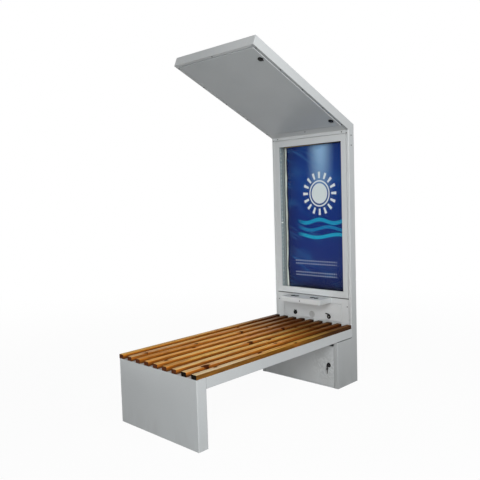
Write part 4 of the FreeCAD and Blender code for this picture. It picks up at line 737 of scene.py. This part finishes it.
def add_surround():
    """White where it is seen or mirrored, and a weak light otherwise."""
    world = bpy.data.worlds.new("surround")
    world.use_nodes = True
    scene.world = world
    tree = world.node_tree
    tree.nodes.clear()

    def add(kind, *links):
        node = tree.nodes.new("ShaderNode" + kind)
        for source, socket in zip(links, node.inputs):
            tree.links.new(source, socket)
        return node

    def most(a, b):
        node = add("Math", a, b)
        node.operation = "MAXIMUM"
        return node.outputs[0]

    def background(colour, strength):
        node = add("Background")
        node.inputs["Color"].default_value = (*colour, 1)
        node.inputs["Strength"].default_value = strength
        return node.outputs[0]

    rays = add("LightPath").outputs
    seen = most(most(rays["Is Camera Ray"], rays["Is Transmission Ray"]), rays["Is Glossy Ray"])
    lighting = background((0.95, 0.98, 1.0), WORLD_LEVEL)
    add("OutputWorld", add("MixShader", seen, lighting, background((1, 1, 1), 1.0)).outputs[0])


def add_lamp(name, place, aim, size, power, spread):
    data = bpy.data.lights.new(name, "AREA")
    data.shape = "RECTANGLE"
    data.size, data.size_y = size
    data.energy = power
    data.spread = math.radians(spread)
    rig = bpy.data.objects.new(name, data)
    rig.location = place
    rig.rotation_euler = (Vector(aim) - Vector(place)).to_track_quat("-Z", "Y").to_euler()
    scene.collection.objects.link(rig)


scene.view_settings.view_transform = "Standard"
add_camera()
add_floor()
add_surround()
for settings in LAMPS:
    add_lamp(*settings)


# Finishes of the CAD pieces


def finish_with(material, *names):
    for name in names:
        mesh = nodes[name].data
        mesh.materials.clear()
        mesh.materials.append(material)


def middle_of(name):
    low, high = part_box(name)
    return (low + high) / 2


lock = middle_of("cabinet_lock_housing")
handled = (lock.y + 0.035, lock.z - 0.02, 0.17)
grille = (middle_of("speaker").y, middle_of("speaker").z, 0.029)
# The joint between the fascia's top and the light box door's foot, with a little of both, in
# painted shade.
door_seam_shade = (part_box("fascia_panel")[1].z - 0.0028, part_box("light_box_door")[0].z + 0.0032)

finish_with(
    powder_coat("powder_coat", LIGHT_GREY),
    "leg_shell", "leg_inner_panel", "rail_front", "rail_rear", "back_panel", "tower_head",
    "cabinet_top", "console_housing", "console_cover",
)
finish_with(powder_coat("canopy_coat", LIGHT_GREY, under=(0.43, 0.45, 0.46)), "canopy_pan")
finish_with(powder_coat("hatch_coat", HATCH_GREY, rim=(0.86, 0.88, 0.89)), "canopy_hatch")
finish_with(
    powder_coat("side_coat", LIGHT_GREY, ground=0.52), "side_plate_front", "side_plate_rear"
)
finish_with(powder_coat("cabinet_door_coat", LIGHT_GREY, waves=0.5, smudge=handled), "cabinet_door")
finish_with(
    powder_coat("light_box_coat", LIGHT_GREY, seam=door_seam_shade), "light_box_door", "fascia_panel"
)
finish_with(powder_coat("flap_coat", LIGHT_GREY, disc=grille), "service_flap")
finish_with(
    galvanised("galvanised_steel"),
    "bearers", "leg_base_plate", "cabinet_floor", "canopy_ribs", "neck_brackets",
)
finish_with(
    metal("screw_black", MOULDED_BLACK, 0.5, metallic=0.4), "panel_screws", "slat_screws"
)
finish_with(metal("pin_steel", (0.46, 0.47, 0.48), 0.3), "pivot_pins")
finish_with(
    metal("lock_steel", (0.46, 0.46, 0.45), 0.34, (30.0, 30.0, 30.0)),
    "flap_plug_front", "flap_plug_rear", "hatch_plug_near", "hatch_plug_far", "cabinet_plug",
)
finish_with(
    metal("frame_aluminium", (0.72, 0.73, 0.74), 0.34, (3.0, 60.0, 60.0), 0.06, 0.9), "pv_frame"
)
finish_with(
    plastic("lock_black", LOCK_BLACK, 0.5, 0.08, 0.10),
    "flap_lock_housings", "hatch_lock_housings", "cabinet_lock_housing",
    "flap_cap_front", "flap_cap_rear", "hatch_cap_near", "hatch_cap_far",
)
finish_with(plastic("key_black", MOULDED_BLACK, 0.45, gloss=0.2), "cabinet_key")
finish_with(plastic("socket_black", (0.006, 0.006, 0.008), 0.7, 0.03, 0.03), "usb_sockets")
finish_with(plastic("speaker_black", MOULDED_BLACK, 0.6, 0.2, 0.1), "speaker")
finish_with(plastic("cable_sheath", (0.018, 0.018, 0.018), 0.55, 0.2), "pv_cable")
finish_with(spare_key_finish(), "spare_key")
finish_with(controller_finish(), "charge_controller")
finish_with(battery_finish(), "battery")
finish_with(tray_finish(), "light_tray")
finish_with(led_finish(), "led_bars")
finish_with(glazing_finish(), "door_glazing")
finish_with(solar_finish(), "pv_laminate")

for i, (honey, places) in enumerate(zip(HONEY, KNOTS)):
    number = i + 1
    name = f"slat_{number}"
    low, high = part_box(name)
    middle = (low.y + high.y) / 2
    knots = [(x, middle + offset, size * KNOT_SPREAD) for x, offset, size in places]
    front = number == FRONT_SLAT
    side = FRONT_SIDE if front else SLAT_SIDE_LIT
    end = PAINTED_END if number in DARK_ENDED else BARE_END
    foot = None if front else (low.z + 0.004, high.z - 0.004)
    tip = SHADED_TIPS.get(number, SHADED_TIP)
    faded = FADED.get(number, 0.0)
    finish_with(
        wood(f"slat_wood_{number}", i + 1.3, honey, side, end, knots, foot, faded, tip), name
    )


# Pieces made here


def mesh_of(name, work):
    """The mesh of a finished bmesh, with its faces turned out."""
    bmesh.ops.recalc_face_normals(work, faces=work.faces)
    mesh = bpy.data.meshes.new(name)
    work.to_mesh(mesh)
    work.free()
    return mesh


def piece(name, mesh, material, body, slot, *replaced):
    made = bpy.data.objects.new(name, mesh)
    scene.collection.objects.link(made)
    mesh.materials.append(material)
    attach(made, body)
    if replaced:
        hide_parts(*replaced)
    return made


def poster_sheet():
    """The print stands off the tray a little along its left edge, where it isn't held."""
    low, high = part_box("poster")
    across, tall = 40, 60  # faces each way
    off_box, edge_lift, ripple, thickness = 0.0008, 0.0055, 0.0007, 0.0006
    work = bmesh.new()
    rows = []
    for j in range(tall + 1):
        v = j / tall
        row = []
        for i in range(across + 1):
            u = i / across
            edge = max(0.0, 1.0 - u * 6.0) ** 2
            lift = edge_lift * edge * (0.55 + 0.45 * math.sin(3.2 * math.pi * v + 0.6))
            lift += ripple * math.sin(5.0 * math.pi * v) * math.sin(2.0 * math.pi * u)
            x = low.x - off_box - max(0.0, lift)
            y = high.y + (low.y - high.y) * u
            row.append(work.verts.new((x, y, low.z + (high.z - low.z) * v)))
        rows.append(row)
    for lower, upper in zip(rows, rows[1:]):
        for i in range(across):
            work.faces.new((lower[i], lower[i + 1], upper[i + 1], upper[i]))
    mesh = mesh_of("poster_sheet", work)
    for face in mesh.polygons:
        face.use_smooth = True
    print_finish = poster_finish(low, high)
    made = piece("poster_sheet", mesh, print_finish, "bench_frame", "poster_print", "poster")
    solid = made.modifiers.new("thickness", "SOLIDIFY")
    solid.thickness = thickness
    solid.offset = 0.0


def door_sweep():
    """Thin folded lip under the cabinet door's lower edge, clear of the floor plate and the pin."""
    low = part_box("cabinet_door")[0]
    lower_pin = [v.co.y for v in nodes["pivot_pins"].data.vertices if v.co.z < low.z]
    near, far = low.y + 0.002, min(lower_pin) - 0.0015
    top, bottom = low.z - 0.0002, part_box("cabinet_floor")[1].z + 0.0008
    front = low.x + 0.0003
    thick, fold, bend = 0.0012, 0.005, 0.0007
    profile = [
        (front, top), (front, bottom + bend), (front + bend * 0.3, bottom + bend * 0.3),
        (front + bend, bottom), (front + fold, bottom), (front + fold, bottom + thick),
        (front + thick, bottom + thick), (front + thick, top),
    ]
    work = bmesh.new()
    first, last = ([work.verts.new((x, y, z)) for x, z in profile] for y in (near, far))
    for i in range(len(profile)):
        j = (i + 1) % len(profile)
        work.faces.new((first[i], first[j], last[j], last[i]))
    work.faces.new(first)
    work.faces.new(last)
    coat = powder_coat("sweep_coat", LIGHT_GREY)
    piece("door_sweep", mesh_of("door_sweep", work), coat, "battery_door", "powder_coat")


poster_sheet()
door_sweep()
